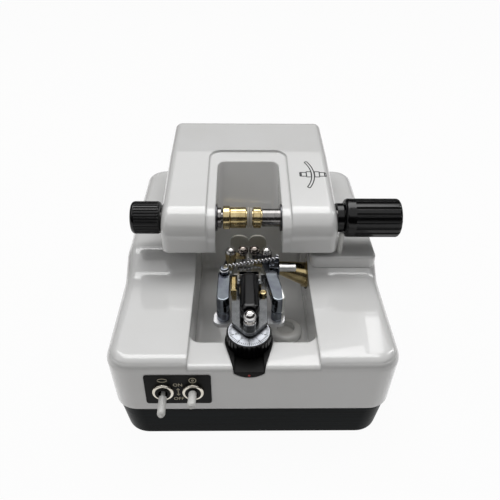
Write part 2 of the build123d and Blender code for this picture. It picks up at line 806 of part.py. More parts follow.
def dial_knob():
    """Fluted rim of the depth dial."""
    knob = rod_z(DIAL_R, DIAL_Z0, DIAL_TOP_Z, DIAL_X, DIAL_Y)
    knob = chamfer(knob.edges().group_by(Axis.Z)[-1], ROUND / 2)
    for step in range(DIAL_FLUTES):
        turn = 2 * pi * step / DIAL_FLUTES
        x = DIAL_X + DIAL_R * cos(turn)
        y = DIAL_Y + DIAL_R * sin(turn)
        knob -= rod_z(DIAL_FLUTE_R, 0, TALL, x, y)
    return knob - rod_z(LIFT_SCREW_R + FIT, 0, TALL, DIAL_X, DIAL_Y)


def dial_face():
    """Graduated disc on top of the dial."""
    disc = rod_z(DIAL_FACE_R, DIAL_TOP_Z, DIAL_TOP_Z + DIAL_FACE_T, DIAL_X, DIAL_Y)
    return disc - rod_z(LIFT_SCREW_R + GAP, 0, TALL, DIAL_X, DIAL_Y)


def lift_screw():
    """Screw under the guide plate's nose that the dial lifts."""
    return rod_z(LIFT_SCREW_R, DIAL_Z0 - GAP - HOLDER_FLOOR - WALL, PLATE_Z0, DIAL_X, DIAL_Y)


def post_places():
    """The Y places of the two guide posts."""
    margin = BLOCK_L / 4
    return [BLOCK_Y0 + margin, BLOCK_Y1 - margin]


def guide_block():
    """Fixed block on the basin's floor with its two posts and their return springs."""
    half = BLOCK_W / 2
    body = block(MID_X - half, MID_X + half, BLOCK_Y0, BLOCK_Y1, FLOOR_Z, BLOCK_TOP_Z)
    body = chamfer(edges_where(body, lambda p: p.Z > BLOCK_TOP_Z - 0.1), ROUND)
    posts = []
    springs = []
    spring_z = BLOCK_TOP_Z - POST_SPRING_L
    for y in post_places():
        body -= rod_z(POST_R, POST_FOOT_Z, TALL, MID_X, y)
        body -= rod_z(POST_SPRING_R + GAP, spring_z, TALL, MID_X, y)
        posts.append(rod_z(POST_R, POST_FOOT_Z, PLATE_Z0 - WALL / 2 - ROUND, MID_X, y))
        spring = rod_z(POST_SPRING_R, spring_z, CARRIAGE_Z0 - GAP, MID_X, y)
        springs.append(spring - rod_z(POST_R + GAP, 0, TALL, MID_X, y))
    return [body] + posts + springs


def arm_pivots():
    """The X places of the two arm pivots."""
    return [MID_X - LEFT_PIVOT_X, MID_X + RIGHT_PIVOT_X]


def carriage():
    """Block that rides on the posts, with an ear and a pivot pin on each side."""
    half = BLOCK_W / 2 - ROUND
    body = block(MID_X - half, MID_X + half, BLOCK_Y0, BLOCK_Y1, CARRIAGE_Z0, PLATE_Z0)
    ear_z = CARRIAGE_Z0 + ROUND / 2
    ears = block(MID_X - EAR_W / 2, MID_X + EAR_W / 2, EAR_Y0, EAR_Y1, ear_z, ear_z + EAR_T)
    ears = fillet(ears.edges().filter_by(Axis.Z), ARM_POST_R)
    body += ears
    for x in arm_pivots():
        body += rod_z(ARM_PIN_R, ear_z, ARM_Z0 + ARM_H - ROUND, x, ARM_PIVOT_Y)
    for y in post_places():
        body -= rod_z(POST_R + FIT, 0, PLATE_Z0 - WALL / 2, MID_X, y)
    return body


def guide_plate():
    """Plate that the lens edge is guided over, with its nose and the pin's boss."""
    half0 = PLATE_W0 / 2
    half1 = PLATE_W1 / 2
    hump_y = PLATE_Y0 + PLATE_HUMP_R
    main = Polygon(
        (MID_X - half0, hump_y),
        (MID_X + half0, hump_y),
        (MID_X + half1, BRIDGE_Y1),
        (MID_X - half1, BRIDGE_Y1),
        align=None,
    )
    nose = [(MID_X, PLATE_NOSE_Y + PLATE_NOSE_R, PLATE_NOSE_R)]
    nose += [(MID_X + side * (half0 - PLATE_HUMP_R), hump_y, PLATE_HUMP_R) for side in (-1, 1)]
    plate = extrude(Pos(0, 0, PLATE_Z0) * main, PLATE_T) + hulled(nose, PLATE_Z0, PLATE_Z1)
    boss = rod_z(PIN_BOSS_R, PLATE_Z1, PLATE_Z1 + PIN_BOSS_H, MID_X, PIN_Y)
    return plate + boss - rod_z(PIN_R + FIT, PLATE_Z0 + ROUND / 2, TALL, MID_X, PIN_Y)


def bridge_bar():
    """Bar across the carriage with two cheeks that carry the lever's pin."""
    top = ARM_Z0 + ARM_H
    inner = LEVER_W / 2 + GAP
    outer = inner + BRIDGE_LEG
    cheek_y0 = LEVER_PIVOT_Y - 2 * LEVER_PIN_R
    bar = block(MID_X - outer, MID_X + outer, BRIDGE_Y0, BRIDGE_Y1, top - BRIDGE_T, top)
    for side in (-1, 1):
        x0, x1 = sorted((MID_X + side * inner, MID_X + side * outer))
        bar += block(x0, x1, cheek_y0, BRIDGE_Y1, PLATE_Z1, top)
    reach = inner + ROUND
    return bar + rod_x(LEVER_PIN_R, MID_X - reach, MID_X + reach, LEVER_PIVOT_Y, LEVER_PIVOT_Z)


def guide_lever():
    """Smooth lever over the guide plate, hinged at its rear."""
    r = LEVER_T / 2
    y0 = LEVER_PIVOT_Y + r - LEVER_LEN
    half = LEVER_W / 2
    lever = block(MID_X - half, MID_X + half, y0, LEVER_PIVOT_Y + r, LEVER_PIVOT_Z - r, LEVER_PIVOT_Z + r)
    lever = fillet(lever.edges().filter_by(Axis.Z), half * 0.8)
    lever = fillet(edges_where(lever, lambda p: p.Z - LEVER_PIVOT_Z > r - 0.1), r * 0.85)
    lever = fillet(edges_where(lever, lambda p: LEVER_PIVOT_Z - p.Z > r - 0.1), r * 0.6)
    lever -= rod_z(PIN_BALL_R + LEVER_BITE, 0, TALL, MID_X, PIN_Y)
    return lever - rod_x(LEVER_PIN_R + FIT, -TALL, TALL, LEVER_PIVOT_Y, LEVER_PIVOT_Z)


def adjusting_block():
    """Brass block on the guide plate, and the copper screw across from it."""
    x1 = MID_X - LEVER_W / 2 - GAP - BRIDGE_LEG - GAP
    y0 = LEVER_PIVOT_Y - BRASS_L / 2
    brass = block(x1 - BRASS_W, x1, y0, y0 + BRASS_L, PLATE_Z1, PLATE_Z1 + BRASS_H)
    brass = chamfer(edges_where(brass, lambda p: p.Z > PLATE_Z1 + BRASS_H - 0.1), ROUND)
    x = MID_X + LEVER_W / 2 + COPPER_R + GAP
    y = LEVER_PIVOT_Y - 2 * LEVER_PIN_R - COPPER_R - GAP
    screw = rod_z(COPPER_R, PLATE_Z1, PLATE_Z1 + COPPER_R, x, y)
    screw = fillet(screw.edges().group_by(Axis.Z)[-1], ROUND)
    slot = block(x - COPPER_R, x + COPPER_R, y - 0.4, y + 0.4, PLATE_Z1 + COPPER_R - ROUND, TALL)
    return [brass, screw - slot]


def lock_pin():
    """Ball-ended pin that stands in the plate's boss."""
    z0 = PLATE_Z1 + PIN_BOSS_H
    ball_z = z0 + PIN_H - PIN_BALL_R - WALL
    pin = rod_z(PIN_R, PLATE_Z0 + ROUND, z0, MID_X, PIN_Y)
    pin += rod_z(PIN_BALL_R, z0, z0 + ROUND, MID_X, PIN_Y)
    pin += rod_z(PIN_WAIST_R, z0, ball_z, MID_X, PIN_Y)
    return pin + Pos(MID_X, PIN_Y, ball_z) * Sphere(PIN_BALL_R)


def hulled(circles, z0, z1):
    """The hull of circles given as (x, y, radius), between two heights."""
    edges = [(Pos(x, y) * Circle(r)).edges()[0] for x, y, r in circles]
    return extrude(Pos(0, 0, z0) * make_face(make_hull(edges).edges()), z1 - z0)


def guide_arm(side):
    """One guide arm: barrel on the pivot pin, front bar, and tail to the roller's post."""
    x = arm_pivots()[0 if side < 0 else 1]
    rear_x = MID_X + (RIGHT_REAR_X if side > 0 else -LEFT_REAR_X)
    tail_x = MID_X + side * TAIL_X
    top = ARM_Z0 + ARM_H
    bar = hulled([(x, ARM_FRONT_Y + ARM_R, ARM_R), (rear_x, ARM_BACK_Y - ARM_R, ARM_R)], ARM_Z0, top)
    bar = fillet(edges_where(bar, lambda p: p.Z > top - 0.1), ROUND)
    barrel_z = CARRIAGE_Z0 + ROUND / 2 + EAR_T + GAP
    barrel = rod_z(ARM_POST_R, barrel_z, ARM_Z0, x, ARM_PIVOT_Y)
    band_z = (barrel_z + ARM_Z0) / 2
    band = rod_z(ARM_POST_R + 1, band_z, band_z + ARM_BAND_H, x, ARM_PIVOT_Y)
    barrel -= band - rod_z(ARM_POST_R - ARM_BAND_D, 0, TALL, x, ARM_PIVOT_Y)
    tail_start = (tail_x, ARM_BACK_Y - TAIL_HALF, TAIL_HALF)
    tail = hulled([tail_start, (MID_X + side * COLUMN_X, COLUMN_Y, COLUMN_R)], TAIL_Z0, ARM_Z0)
    arm = bar + barrel + tail
    if side > 0:
        arm += block(tail_x - TAIL_HALF, tail_x + TAIL_HALF, TAIL_BLOCK_Y0, TAIL_BLOCK_Y1, ARM_Z0, top)
        hook_x, hook_y = spring_ends()[1]
        arm += rod_z(END_POST_R, top, SPRING_Z + SPRING_WIRE, hook_x, hook_y)
        arm -= rod_x(STOP_R / 2 + FIT, tail_x, tail_x + TAIL_HALF + 1, STOP_Y, STOP_Z)
    else:
        hook_x, hook_y = spring_ends()[0]
        arm += rod_z(HOOK_POST_R, top, SPRING_Z + SPRING_WIRE, hook_x, hook_y)
        cap = rod_z(HOOK_HEAD_R, SPRING_Z + SPRING_WIRE, SPRING_Z + 3 * SPRING_WIRE, hook_x, hook_y)
        arm += fillet(cap.edges().group_by(Axis.Z)[-1], ROUND)
    return arm - rod_z(ARM_PIN_R + FIT, 0, top - ROUND + GAP, x, ARM_PIVOT_Y)


def left_arm():
    """Left guide arm with the spring's screw."""
    return guide_arm(-1)


def right_arm():
    """Right guide arm with the spring's post, and its stop screw."""
    x = MID_X + TAIL_X + TAIL_HALF
    screw = rod_x(STOP_R, x, x + STOP_L, STOP_Y, STOP_Z)
    screw = chamfer(screw.edges().group_by(Axis.X)[-1], ROUND / 2)
    for step in range(int(STOP_L / STOP_PITCH) - 1):
        groove = x + STOP_PITCH * (step + 1)
        ring = rod_x(STOP_R + 1, groove - 0.2, groove + 0.2, STOP_Y, STOP_Z)
        screw -= ring - rod_x(STOP_R - 0.3, groove - 1, groove + 1, STOP_Y, STOP_Z)
    screw += rod_x(STOP_R / 2, x - TAIL_HALF + GAP, x, STOP_Y, STOP_Z)
    return [guide_arm(1), screw]


def roller_post(side):
    """Column on an arm's end with a tongue to the roller, and its dome nut."""
    x = MID_X + side * COLUMN_X
    roller = MID_X + side * ROLLER_X
    top = ARM_Z0 + COLUMN_H
    column = rod_z(COLUMN_R, ARM_Z0, top, x, COLUMN_Y)
    ends = [(x, COLUMN_Y, TONGUE_W / 2), (roller, ROLLER_Y, TONGUE_W / 2)]
    column += hulled(ends, TONGUE_Z, TONGUE_Z + TONGUE_T)
    column -= rod_z(ROLLER_PIN_R + FIT, 0, TALL, roller, ROLLER_Y)
    nut = rod_z(DOME_R, top, top + DOME_H - DOME_R, x, COLUMN_Y)
    dome = Pos(x, COLUMN_Y, top + DOME_H - DOME_R) * Sphere(DOME_R)
    nut += dome & rod_z(DOME_R, top + DOME_H - DOME_R, TALL, x, COLUMN_Y)
    return [column, nut]


def left_roller_post():
    """Left roller's post."""
    return roller_post(-1)


def right_roller_post():
    """Right roller's post."""
    return roller_post(1)


def roller(side):
    """Ball-shaped roller on its own pin."""
    x = MID_X + side * ROLLER_X
    z0 = TONGUE_Z + TONGUE_T + GAP
    body = rod_z(ROLLER_NECK_R, z0, z0 + ROLLER_RISE, x, ROLLER_Y)
    body += Pos(x, ROLLER_Y, z0 + ROLLER_RISE) * Sphere(ROLLER_R) & rod_z(ROLLER_R, z0, TALL, x, ROLLER_Y)
    return body + rod_z(ROLLER_PIN_R, TONGUE_Z - ROUND / 2, z0, x, ROLLER_Y)


def left_roller():
    """Left guide roller."""
    return roller(-1)


def right_roller():
    """Right guide roller."""
    return roller(1)


def spring_ends():
    """Where the spring's screw on the left arm and post on the right arm stand."""
    left = (MID_X - LEFT_REAR_X, ARM_BACK_Y - HOOK_POST_R)
    right = (MID_X + TAIL_X + TAIL_HALF - 1.5 * END_POST_R, TAIL_BLOCK_Y1 - 2 * END_POST_R)
    return [left, right]


def biarc(p0, t0, p1, t1):
    """Two tangent arcs from one point and direction to another."""
    chord = p1 - p0
    both = t0 + t1
    turn = 2 * (1 - t0.dot(t1))
    push = chord.dot(both)
    reach = (-push + sqrt(push**2 + turn * chord.dot(chord))) / turn
    middle = (p0 + p1 + (t0 - t1) * reach) * 0.5
    first = TangentArc(p0, middle, tangent=t0)
    second = TangentArc(middle, p1, tangent=t1 * -1, tangent_from_first=False)
    return [first.edges()[0], second.edges()[0]]


def spring_path():
    """The spring's stations: each a point and the direction of the wire there."""
    (ax, ay), (bx, by) = spring_ends()
    a = Vector(ax, ay, SPRING_Z)
    b = Vector(bx, by, SPRING_Z)
    u = (b - a).normalized()
    n = Vector(-u.Y, u.X, 0)
    ra = HOOK_POST_R + SPRING_WIRE / 2 + GAP
    rb = END_POST_R + SPRING_WIRE / 2 + GAP
    stations = [(a + u * ra, n * -1), (a - n * ra, u * -1), (a - u * ra, n), (a + n * ra, u)]
    start = a + n * ra + u * SPRING_LEAD
    end = b - n * rb - u * SPRING_LEAD
    axis = (end - start).normalized()
    length = (end - start).length
    side = Vector(-axis.Y, axis.X, 0)
    up = Vector(0, 0, 1)
    pitch = length / SPRING_TURNS
    steps = 4 * SPRING_TURNS
    for step in range(steps + 1):
        angle = step * pi / 2
        point = start + axis * (length * step / steps)
        point += side * (SPRING_MEAN_R * cos(angle)) + up * (SPRING_MEAN_R * sin(angle))
        round_way = side * -sin(angle) + up * cos(angle)
        stations.append((point, (round_way * (2 * pi * SPRING_MEAN_R) + axis * pitch).normalized()))
    return stations + [(b - n * rb, u), (b + u * rb, n), (b + n * rb, u * -1)]


def arm_spring():
    """Stretched coil between the arms, one tube with a loop at each end."""
    stations = spring_path()
    edges = []
    for (p0, t0), (p1, t1) in zip(stations, stations[1:]):
        edges += biarc(p0, t0, p1, t1)
    wire = Wire(edges)
    start, direction = stations[0]
    tube = sweep(Plane(origin=start, z_dir=direction) * Circle(SPRING_WIRE / 2), path=wire)
    print("arm_spring self gap", round(self_gap(wire), 2))
    return tube


def self_gap(wire):
    """Least room between two stretches of a wire that are not neighbours."""
    count = int(wire.length / (SPRING_WIRE / 2))
    points = [wire.position_at(i / count) for i in range(count + 1)]
    apart = int(4 * SPRING_MEAN_R / (SPRING_WIRE / 2))
    least = wire.length
    for i, p in enumerate(points):
        for q in points[i + apart:]:
            least = min(least, (p - q).length)
    return least - SPRING_WIRE


def grinding_wheel():
    """Thin grooving wheel."""
    wheel = on_spindle(WHEEL_R, -WHEEL_T / 2, WHEEL_T / 2)
    return wheel - on_spindle(SPINDLE_R + FIT, -WHEEL_T, WHEEL_T)


def wheel_shaft():
    """Shaft of the grinding wheel, with its collar, and the nut that holds the wheel."""
    half = WHEEL_T / 2
    shaft = on_spindle(SPINDLE_R, -half - HUB_L, motor_start() + MOTOR_L / 3 - 1)
    shaft += on_spindle(HUB_R - ROUND, half, half + HUB_L)
    nut = on_spindle(HUB_R, -half - HUB_L, -half) - on_spindle(SPINDLE_R + FIT, -TALL, TALL)
    return [shaft, nut]


def head_face(grow=0.0, drop=0.0):
    """The head's side outline, grown or shrunk by an amount."""
    outline = [
        (HEAD_Y0, HEAD_Z),
        (HEAD_Y0 + HEAD_LEAN, HEAD_Z + HEAD_FRONT_H),
        (CHUCK_Y + RIDGE_BACK, HEAD_Z + RIDGE_H),
        (HEAD_Y1, HEAD_Z + REAR_H),
        (HEAD_Y1, HEAD_Z),
    ]
    radii = [0, HEAD_FRONT_R, HEAD_CREASE_R, HEAD_REAR_R, 0]
    face = Polygon(*outline, align=None)
    for (y, z), r in zip(outline, radii):
        if r:
            corner = face.vertices().sort_by_distance((y, z, 0))[0]
            face = fillet(corner, r)
    if grow:
        face = offset(face, grow, kind=Kind.INTERSECTION)
    return Pos(0, -drop) * face


def head_block(grow=0.0, drop=0.0):
    """The head's solid block."""
    return along_x(head_face(grow, drop), HEAD_X0 - grow, HEAD_X1 + grow)


def head_room(inset):
    """The side outline of the room inside the head, open at the bottom."""
    y0 = HEAD_Y0 + HEAD_LEAN + inset
    y1 = HEAD_Y1 - inset
    mouth = Pos((y0 + y1) / 2, HEAD_Z + inset) * Rectangle(y1 - y0, 4 * inset)
    return head_face(-inset) + mouth


def notch(grow=0.0):
    """The opening round the lens chucks, its back leaning to the rear."""
    half = NOTCH_W / 2 + grow
    front = HEAD_Y0 - 2 * WALL
    z0 = HEAD_Z - WALL
    z1 = HEAD_Z + RIDGE_H + WALL
    slope = NOTCH_LEAN / RIDGE_H
    back = CHUCK_Y + NOTCH_TOP_BACK - NOTCH_LEAN - WALL * slope + grow
    back_top = back + (z1 - z0) * slope
    face = Polygon((front, z0), (back, z0), (back_top, z1), (front, z1), align=None)
    space = along_x(face, MID_X - half, MID_X + half)
    rear = edges_where(space, lambda p: abs(p.Y - (back + back_top) / 2) < 1 and abs(p.X - MID_X) > half - 1)
    return fillet(rear, NOTCH_R + grow)


def ledge(grow=0.0):
    """Column over the shallow step round the notch."""
    half = NOTCH_W / 2 + LEDGE_SIDE + grow
    y0 = HEAD_Y0 - 2 * WALL
    y1 = CHUCK_Y + NOTCH_TOP_BACK + LEDGE_BACK + grow
    column = block(MID_X - half, MID_X + half, y0, y1, 0, TALL)
    rear = edges_where(column, lambda p: p.Y > y1 - 0.1).filter_by(Axis.Z)
    return fillet(rear, LEDGE_R + grow)


def on_ledge(p):
    """True for a point on the upright sides of the column over the ledge."""
    beside = abs(abs(p.X - MID_X) - NOTCH_W / 2 - LEDGE_SIDE) < 0.1
    behind = p.Y > CHUCK_Y + NOTCH_TOP_BACK + LEDGE_BACK - LEDGE_R
    return (beside or behind) and p.Y > HEAD_Y0 + HEAD_FRONT_R


def head_shell():
    """Moulded cover of the swinging head."""
    outer = head_block()
    sides = outer.edges().filter_by(
        lambda e: min(abs(e.position_at(0.5).X - x) for x in (HEAD_X0, HEAD_X1)) < 0.1
        and e.position_at(0.5).Z > HEAD_Z + 0.1
    )
    outer = fillet(sides, HEAD_SIDE_ROUND)
    inner0 = HEAD_X0 + HEAD_WALL
    inner1 = HEAD_X1 - HEAD_WALL
    hollow = along_x(head_room(HEAD_WALL), inner0, inner1)
    inner_sides = hollow.edges().filter_by(
        lambda e: min(abs(e.position_at(0.5).X - x) for x in (inner0, inner1)) < 0.1
        and e.position_at(0.5).Z > HEAD_Z + 4 * HEAD_WALL
    )
    hollow = fillet(inner_sides, HEAD_SIDE_ROUND - HEAD_WALL)
    step_room = ledge(HEAD_WALL) - head_block(0, LEDGE_D + LEDGE_WALL)
    hollow = hollow - step_room - notch(HEAD_WALL)
    shell = outer - hollow
    stepped = ledge() - head_block(0, LEDGE_D)
    rim = edges_where(stepped, lambda p: HEAD_Z + HEAD_FRONT_H / 2 < p.Z < HEAD_Z + RIDGE_H and on_ledge(p))
    stepped = fillet(rim, LEDGE_ROUND)
    shell = shell - stepped - notch()
    shell -= rod_x(SHAFT_R + GAP, HEAD_X0 - 1, MID_X, CHUCK_Y, CHUCK_Z)
    shell -= rod_x(QUILL_R + GAP, MID_X, HEAD_X1 + 1, CHUCK_Y, CHUCK_Z)
    cut = LUG_HALF + LUG_T + GAP
    return shell - block(MID_X - cut, MID_X + cut, HEAD_Y1 - 2 * WALL, HEAD_Y1 + 1, 0, HEAD_Z + REAR_CUT_H)


def head_bottom_cover():
    """Plate that closes the head from below, with the notch cut out."""
    x0 = HEAD_X0 + HEAD_WALL + GAP
    x1 = HEAD_X1 - HEAD_WALL - GAP
    y0 = HEAD_Y0 + HEAD_WALL + HEAD_LEAN + GAP
    cover = block(x0, x1, y0, COVER_END_Y, HEAD_Z, HEAD_Z + HEAD_COVER_T) - notch(HEAD_WALL + GAP)
    for x, y in head_screw_places():
        cover -= rod_z(SCREW_R + GAP, 0, TALL, x, y)
        cover -= rod_z(SCREW_HEAD_R, 0, HEAD_Z + ROUND, x, y)
    return cover


def head_screw_places():
    """Where the bottom cover's screws stand, under the outer frame plates."""
    inset = HEAD_SIDE_ROUND + FRAME_T
    y0 = CHUCK_Y + 2 * NOTCH_LEAN
    return [(x, y) for x in (HEAD_X0 + inset, HEAD_X1 - inset) for y in (y0, COVER_END_Y - 2 * SCREW_HEAD_R)]


def head_screws():
    """Four screws of the head's bottom cover."""
    screws = []
    for x, y in head_screw_places():
        head = rod_z(SCREW_HEAD_R - GAP, HEAD_Z, HEAD_Z + ROUND, x, y)
        screws.append(head + rod_z(SCREW_R, HEAD_Z + ROUND, HEAD_Z + 4 * WALL, x, y))
    return screws


def frame_plates():
    """The X spans of the head's four frame plates."""
    margin = HEAD_SIDE_ROUND
    inner = NOTCH_W / 2 + HEAD_WALL + GAP
    return [
        (HEAD_X0 + margin, HEAD_X0 + margin + 2 * FRAME_T),
        (MID_X - inner - FRAME_T, MID_X - inner),
        (MID_X + inner, MID_X + inner + FRAME_T),
        (HEAD_X1 - margin - 2 * FRAME_T, HEAD_X1 - margin),
    ]


def head_frame():
    """Plates that carry the lens spindle, the motor and the hinge, joined by a bar."""
    face = head_room(LEDGE_D + LEDGE_WALL + GAP)
    keep = block(HEAD_X0, HEAD_X1, HEAD_Y0, HEAD_Y1 - 2 * WALL, HEAD_Z + HEAD_COVER_T, TALL)
    plates = [along_x(face, x0, x1) & keep for x0, x1 in frame_plates()]
    bar_z = HEAD_Z + REAR_H - 4 * WALL
    bar_x0 = frame_plates()[0][0]
    bar_x1 = frame_plates()[-1][1]
    frame = block(bar_x0, bar_x1, HINGE_Y - 3 * WALL, HINGE_Y - WALL, bar_z, bar_z + 2 * WALL)
    for plate in plates:
        frame += plate
    frame -= rod_x(HINGE_R + FIT, HEAD_X0, HEAD_X1, HINGE_Y, HINGE_Z)
    for (x0, x1), r in zip(frame_plates(), bush_outer_radii()):
        frame -= rod_x(r, x0 - 1, x1 + 1, CHUCK_Y, CHUCK_Z)
    x0, x1 = frame_plates()[1]
    frame -= rod_x(LENS_SHAFT_R + ROUND, x0 - 1, x1 + 1, LENS_MOTOR_Y, LENS_MOTOR_Z)
    for x, y in head_screw_places():
        frame -= rod_z(SCREW_R + FIT, 0, HEAD_Z + 4 * WALL + GAP, x, y)
    return frame


def bush_outer_radii():
    """Outer radii of the four spindle bushes, left to right."""
    return [SHAFT_R + BUSH_WALL] * 2 + [QUILL_R + BUSH_WALL] * 2


def spindle_bushes():
    """Bushes of the lens spindle in the frame plates."""
    bushes = []
    for (x0, x1), r in zip(frame_plates(), bush_outer_radii()):
        bush = rod_x(r, x0, x1, CHUCK_Y, CHUCK_Z)
        bushes.append(bush - rod_x(r - BUSH_WALL + FIT, x0 - 1, x1 + 1, CHUCK_Y, CHUCK_Z))
    return bushes


def notch_washers():
    """Washers on the notch's two walls."""
    left = rod_x(WASHER_R, NOTCH_X0, NOTCH_X0 + WASHER_T, CHUCK_Y, CHUCK_Z)
    right = rod_x(WASHER_R, NOTCH_X1 - WASHER_T, NOTCH_X1, CHUCK_Y, CHUCK_Z)
    left -= rod_x(SHAFT_R + GAP, HEAD_X0, MID_X, CHUCK_Y, CHUCK_Z)
    right -= rod_x(QUILL_R + GAP, MID_X, HEAD_X1, CHUCK_Y, CHUCK_Z)
    return [left, right]


def clamp_neck():
    """Collar on the head's right side that the quill slides in."""
    neck = rod_x(COLLAR_NECK_R, HEAD_X1, HEAD_X1 + COLLAR_NECK_L, CHUCK_Y, CHUCK_Z)
    neck = fillet(neck.edges().group_by(Axis.X)[-1], ROUND)
    return neck - rod_x(QUILL_R + FIT, 0, TALL, CHUCK_Y, CHUCK_Z)


def hinge_shaft():
    """Shaft that the head swings on."""
    return rod_x(HINGE_R, HEAD_X0 + 2 * WALL, HEAD_X1 - 2 * WALL, HINGE_Y, HINGE_Z)


def hinge_bracket():
    """Bracket on the deck with two lugs for the hinge shaft."""
    y0 = HINGE_Y - BRACKET_Y0
    outer = LUG_HALF + LUG_T
    bracket = block(MID_X - outer, MID_X + outer, y0, y0 + BRACKET_L, DECK_Z, DECK_Z + BRACKET_T)
    bracket = fillet(bracket.edges().filter_by(Axis.Z), BRACKET_T)
    for side in (-1, 1):
        x0, x1 = sorted((MID_X + side * LUG_HALF, MID_X + side * outer))
        bracket += rod_x(LUG_R + WALL / 2, x0, x1, HINGE_Y, HINGE_Z)
        bracket += block(x0, x1, HINGE_Y - LUG_R, HINGE_Y + LUG_R, DECK_Z, HINGE_Z)
    for x, y in bracket_screw_places():
        bracket -= rod_z(SCREW_R + FIT, 0, TALL, x, y)
    return bracket - rod_x(HINGE_R + FIT, -WIDTH, WIDTH, HINGE_Y, HINGE_Z)


def bracket_screw_places():
    """Where the bracket's screws stand."""
    x = LUG_HALF - 2 * SCREW_HEAD_R
    y0 = HINGE_Y - BRACKET_Y0 + 2 * SCREW_HEAD_R
    y1 = HINGE_Y - BRACKET_Y0 + BRACKET_L - 2 * SCREW_HEAD_R
    return [(MID_X + side * x, y) for side in (-1, 1) for y in (y0, y1)]


def base_screws():
    """Screws from below through the pan, and the bracket's screws in the deck."""
    screws = []
    for x, y in screw_places():
        head = rod_z(SCREW_HEAD_R, FOOT_H, FOOT_H + SCREW_HEAD_H, x, y)
        screws.append(head + rod_z(SCREW_R, FOOT_H + SCREW_HEAD_H, SEAM_Z + BOSS_R, x, y))
    for x, y in bracket_screw_places():
        z = DECK_Z + BRACKET_T
        head = rod_z(SCREW_HEAD_R, z, z + SCREW_HEAD_H, x, y)
        screws.append(head + rod_z(SCREW_R, DECK_Z - WALL, z, x, y))
    return screws


def lens_motor():
    """Motor that turns the lens, behind the notch."""
    x0 = frame_plates()[1][1]
    motor = rod_x(LENS_MOTOR_R, x0, x0 + LENS_MOTOR_L, LENS_MOTOR_Y, LENS_MOTOR_Z)
    motor = fillet(motor.edges().filter_by(GeomType.CIRCLE), ROUND)
    return motor - rod_x(LENS_SHAFT_R + GAP, x0 - 1, x0 + LENS_MOTOR_L / 3, LENS_MOTOR_Y, LENS_MOTOR_Z)


def pulley_x():
    """The middle plane of the two pulleys, beside the left frame plate."""
    return frame_plates()[0][1] + PULLEY_SIDE + PULLEY_W / 2


def pulley(core_r, bore_r, y, z):
    """Two-flanged pulley with its bore."""
    half = PULLEY_W / 2
    middle = pulley_x()
    wheel = rod_x(core_r, middle - half, middle + half, y, z)
    for side in (-1, 1):
        x0, x1 = sorted((middle + side * half, middle + side * (half - ROUND)))
        wheel += rod_x(core_r + PULLEY_RIM, x0, x1, y, z)
    return wheel - rod_x(bore_r, -TALL, TALL, y, z)


def spindle_pulley():
    """Pulley on the left lens shaft."""
    return pulley(SPINDLE_PULLEY_R, SHAFT_R + FIT, CHUCK_Y, CHUCK_Z)


def motor_pulley():
    """Pulley and shaft of the lens motor."""
    wheel = pulley(MOTOR_PULLEY_R, LENS_SHAFT_R - ROUND, LENS_MOTOR_Y, LENS_MOTOR_Z)
    x0 = pulley_x() - PULLEY_W / 2
    x1 = frame_plates()[1][1] + LENS_MOTOR_L / 3 - ROUND
    return wheel + rod_x(LENS_SHAFT_R, x0, x1, LENS_MOTOR_Y, LENS_MOTOR_Z)


def drive_belt():
    """Belt between the two pulleys."""
    def loop(extra):
        circles = [
            Pos(CHUCK_Y, CHUCK_Z) * Circle(SPINDLE_PULLEY_R + extra),
            Pos(LENS_MOTOR_Y, LENS_MOTOR_Z) * Circle(MOTOR_PULLEY_R + extra),
        ]
        return make_face(make_hull([c.edges()[0] for c in circles]).edges())

    half = PULLEY_W / 2 - ROUND - FIT
    band = loop(BELT_T + FIT) - loop(FIT)
    return along_x(band, pulley_x() - half, pulley_x() + half)


def fluted(r, x0, x1, count, flute_r, f0, f1):
    """A round bar along X with flutes from f0 to f1."""
    bar = rod_x(r, x0, x1, CHUCK_Y, CHUCK_Z)
    bar = fillet(bar.edges().filter_by(GeomType.CIRCLE), KNOB_ROUND)
    for step in range(count):
        turn = 2 * pi * step / count
        bar -= rod_x(flute_r, f0, f1, CHUCK_Y + r * cos(turn), CHUCK_Z + r * sin(turn))
    return bar


def left_knob():
    """Knob at the left end of the lens spindle."""
    x1 = HEAD_X0 - KNOB_GAP
    x0 = x1 - LEFT_KNOB_L
    knob = fluted(LEFT_KNOB_R, x0, x1, LEFT_KNOB_FLUTES, LEFT_FLUTE_R, x0 + KNOB_ROUND, x1 + 1)
    return knob - rod_x(SHAFT_R + FIT, x0 + KNOB_ROUND, x1 + 1, CHUCK_Y, CHUCK_Z)


def left_chuck_start():
    """Where the left chuck ends at its pad's groove."""
    return SEAM_X - PAD_GAP / 2 - PAD_T - NECK_L


def left_shaft():
    """Shaft from the left knob to the left chuck, with its ring at the notch."""
    x0 = HEAD_X0 - KNOB_GAP - LEFT_KNOB_L + 2 * KNOB_ROUND
    x1 = left_chuck_start() - LEFT_CHUCK_L / 2
    ring_x = NOTCH_X0 + WASHER_T + FIT
    shaft = rod_x(SHAFT_R, x0, x1, CHUCK_Y, CHUCK_Z)
    ring = rod_x(RING_R, ring_x, ring_x + RING_L, CHUCK_Y, CHUCK_Z)
    return shaft + fillet(ring.edges().filter_by(GeomType.CIRCLE), ROUND / 2)


def slotted(bar, r, x0, x1):
    """A chuck body with lengthwise grooves round it."""
    for step in range(CHUCK_SLOTS):
        turn = 360 * (step + 0.5) / CHUCK_SLOTS
        groove = Pos((x0 + x1) / 2, 0, r) * Box(x1 - x0, CHUCK_SLOT_W, 2 * CHUCK_SLOT_D)
        bar -= Pos(0, CHUCK_Y, CHUCK_Z) * Rot(turn, 0, 0) * groove
    return bar


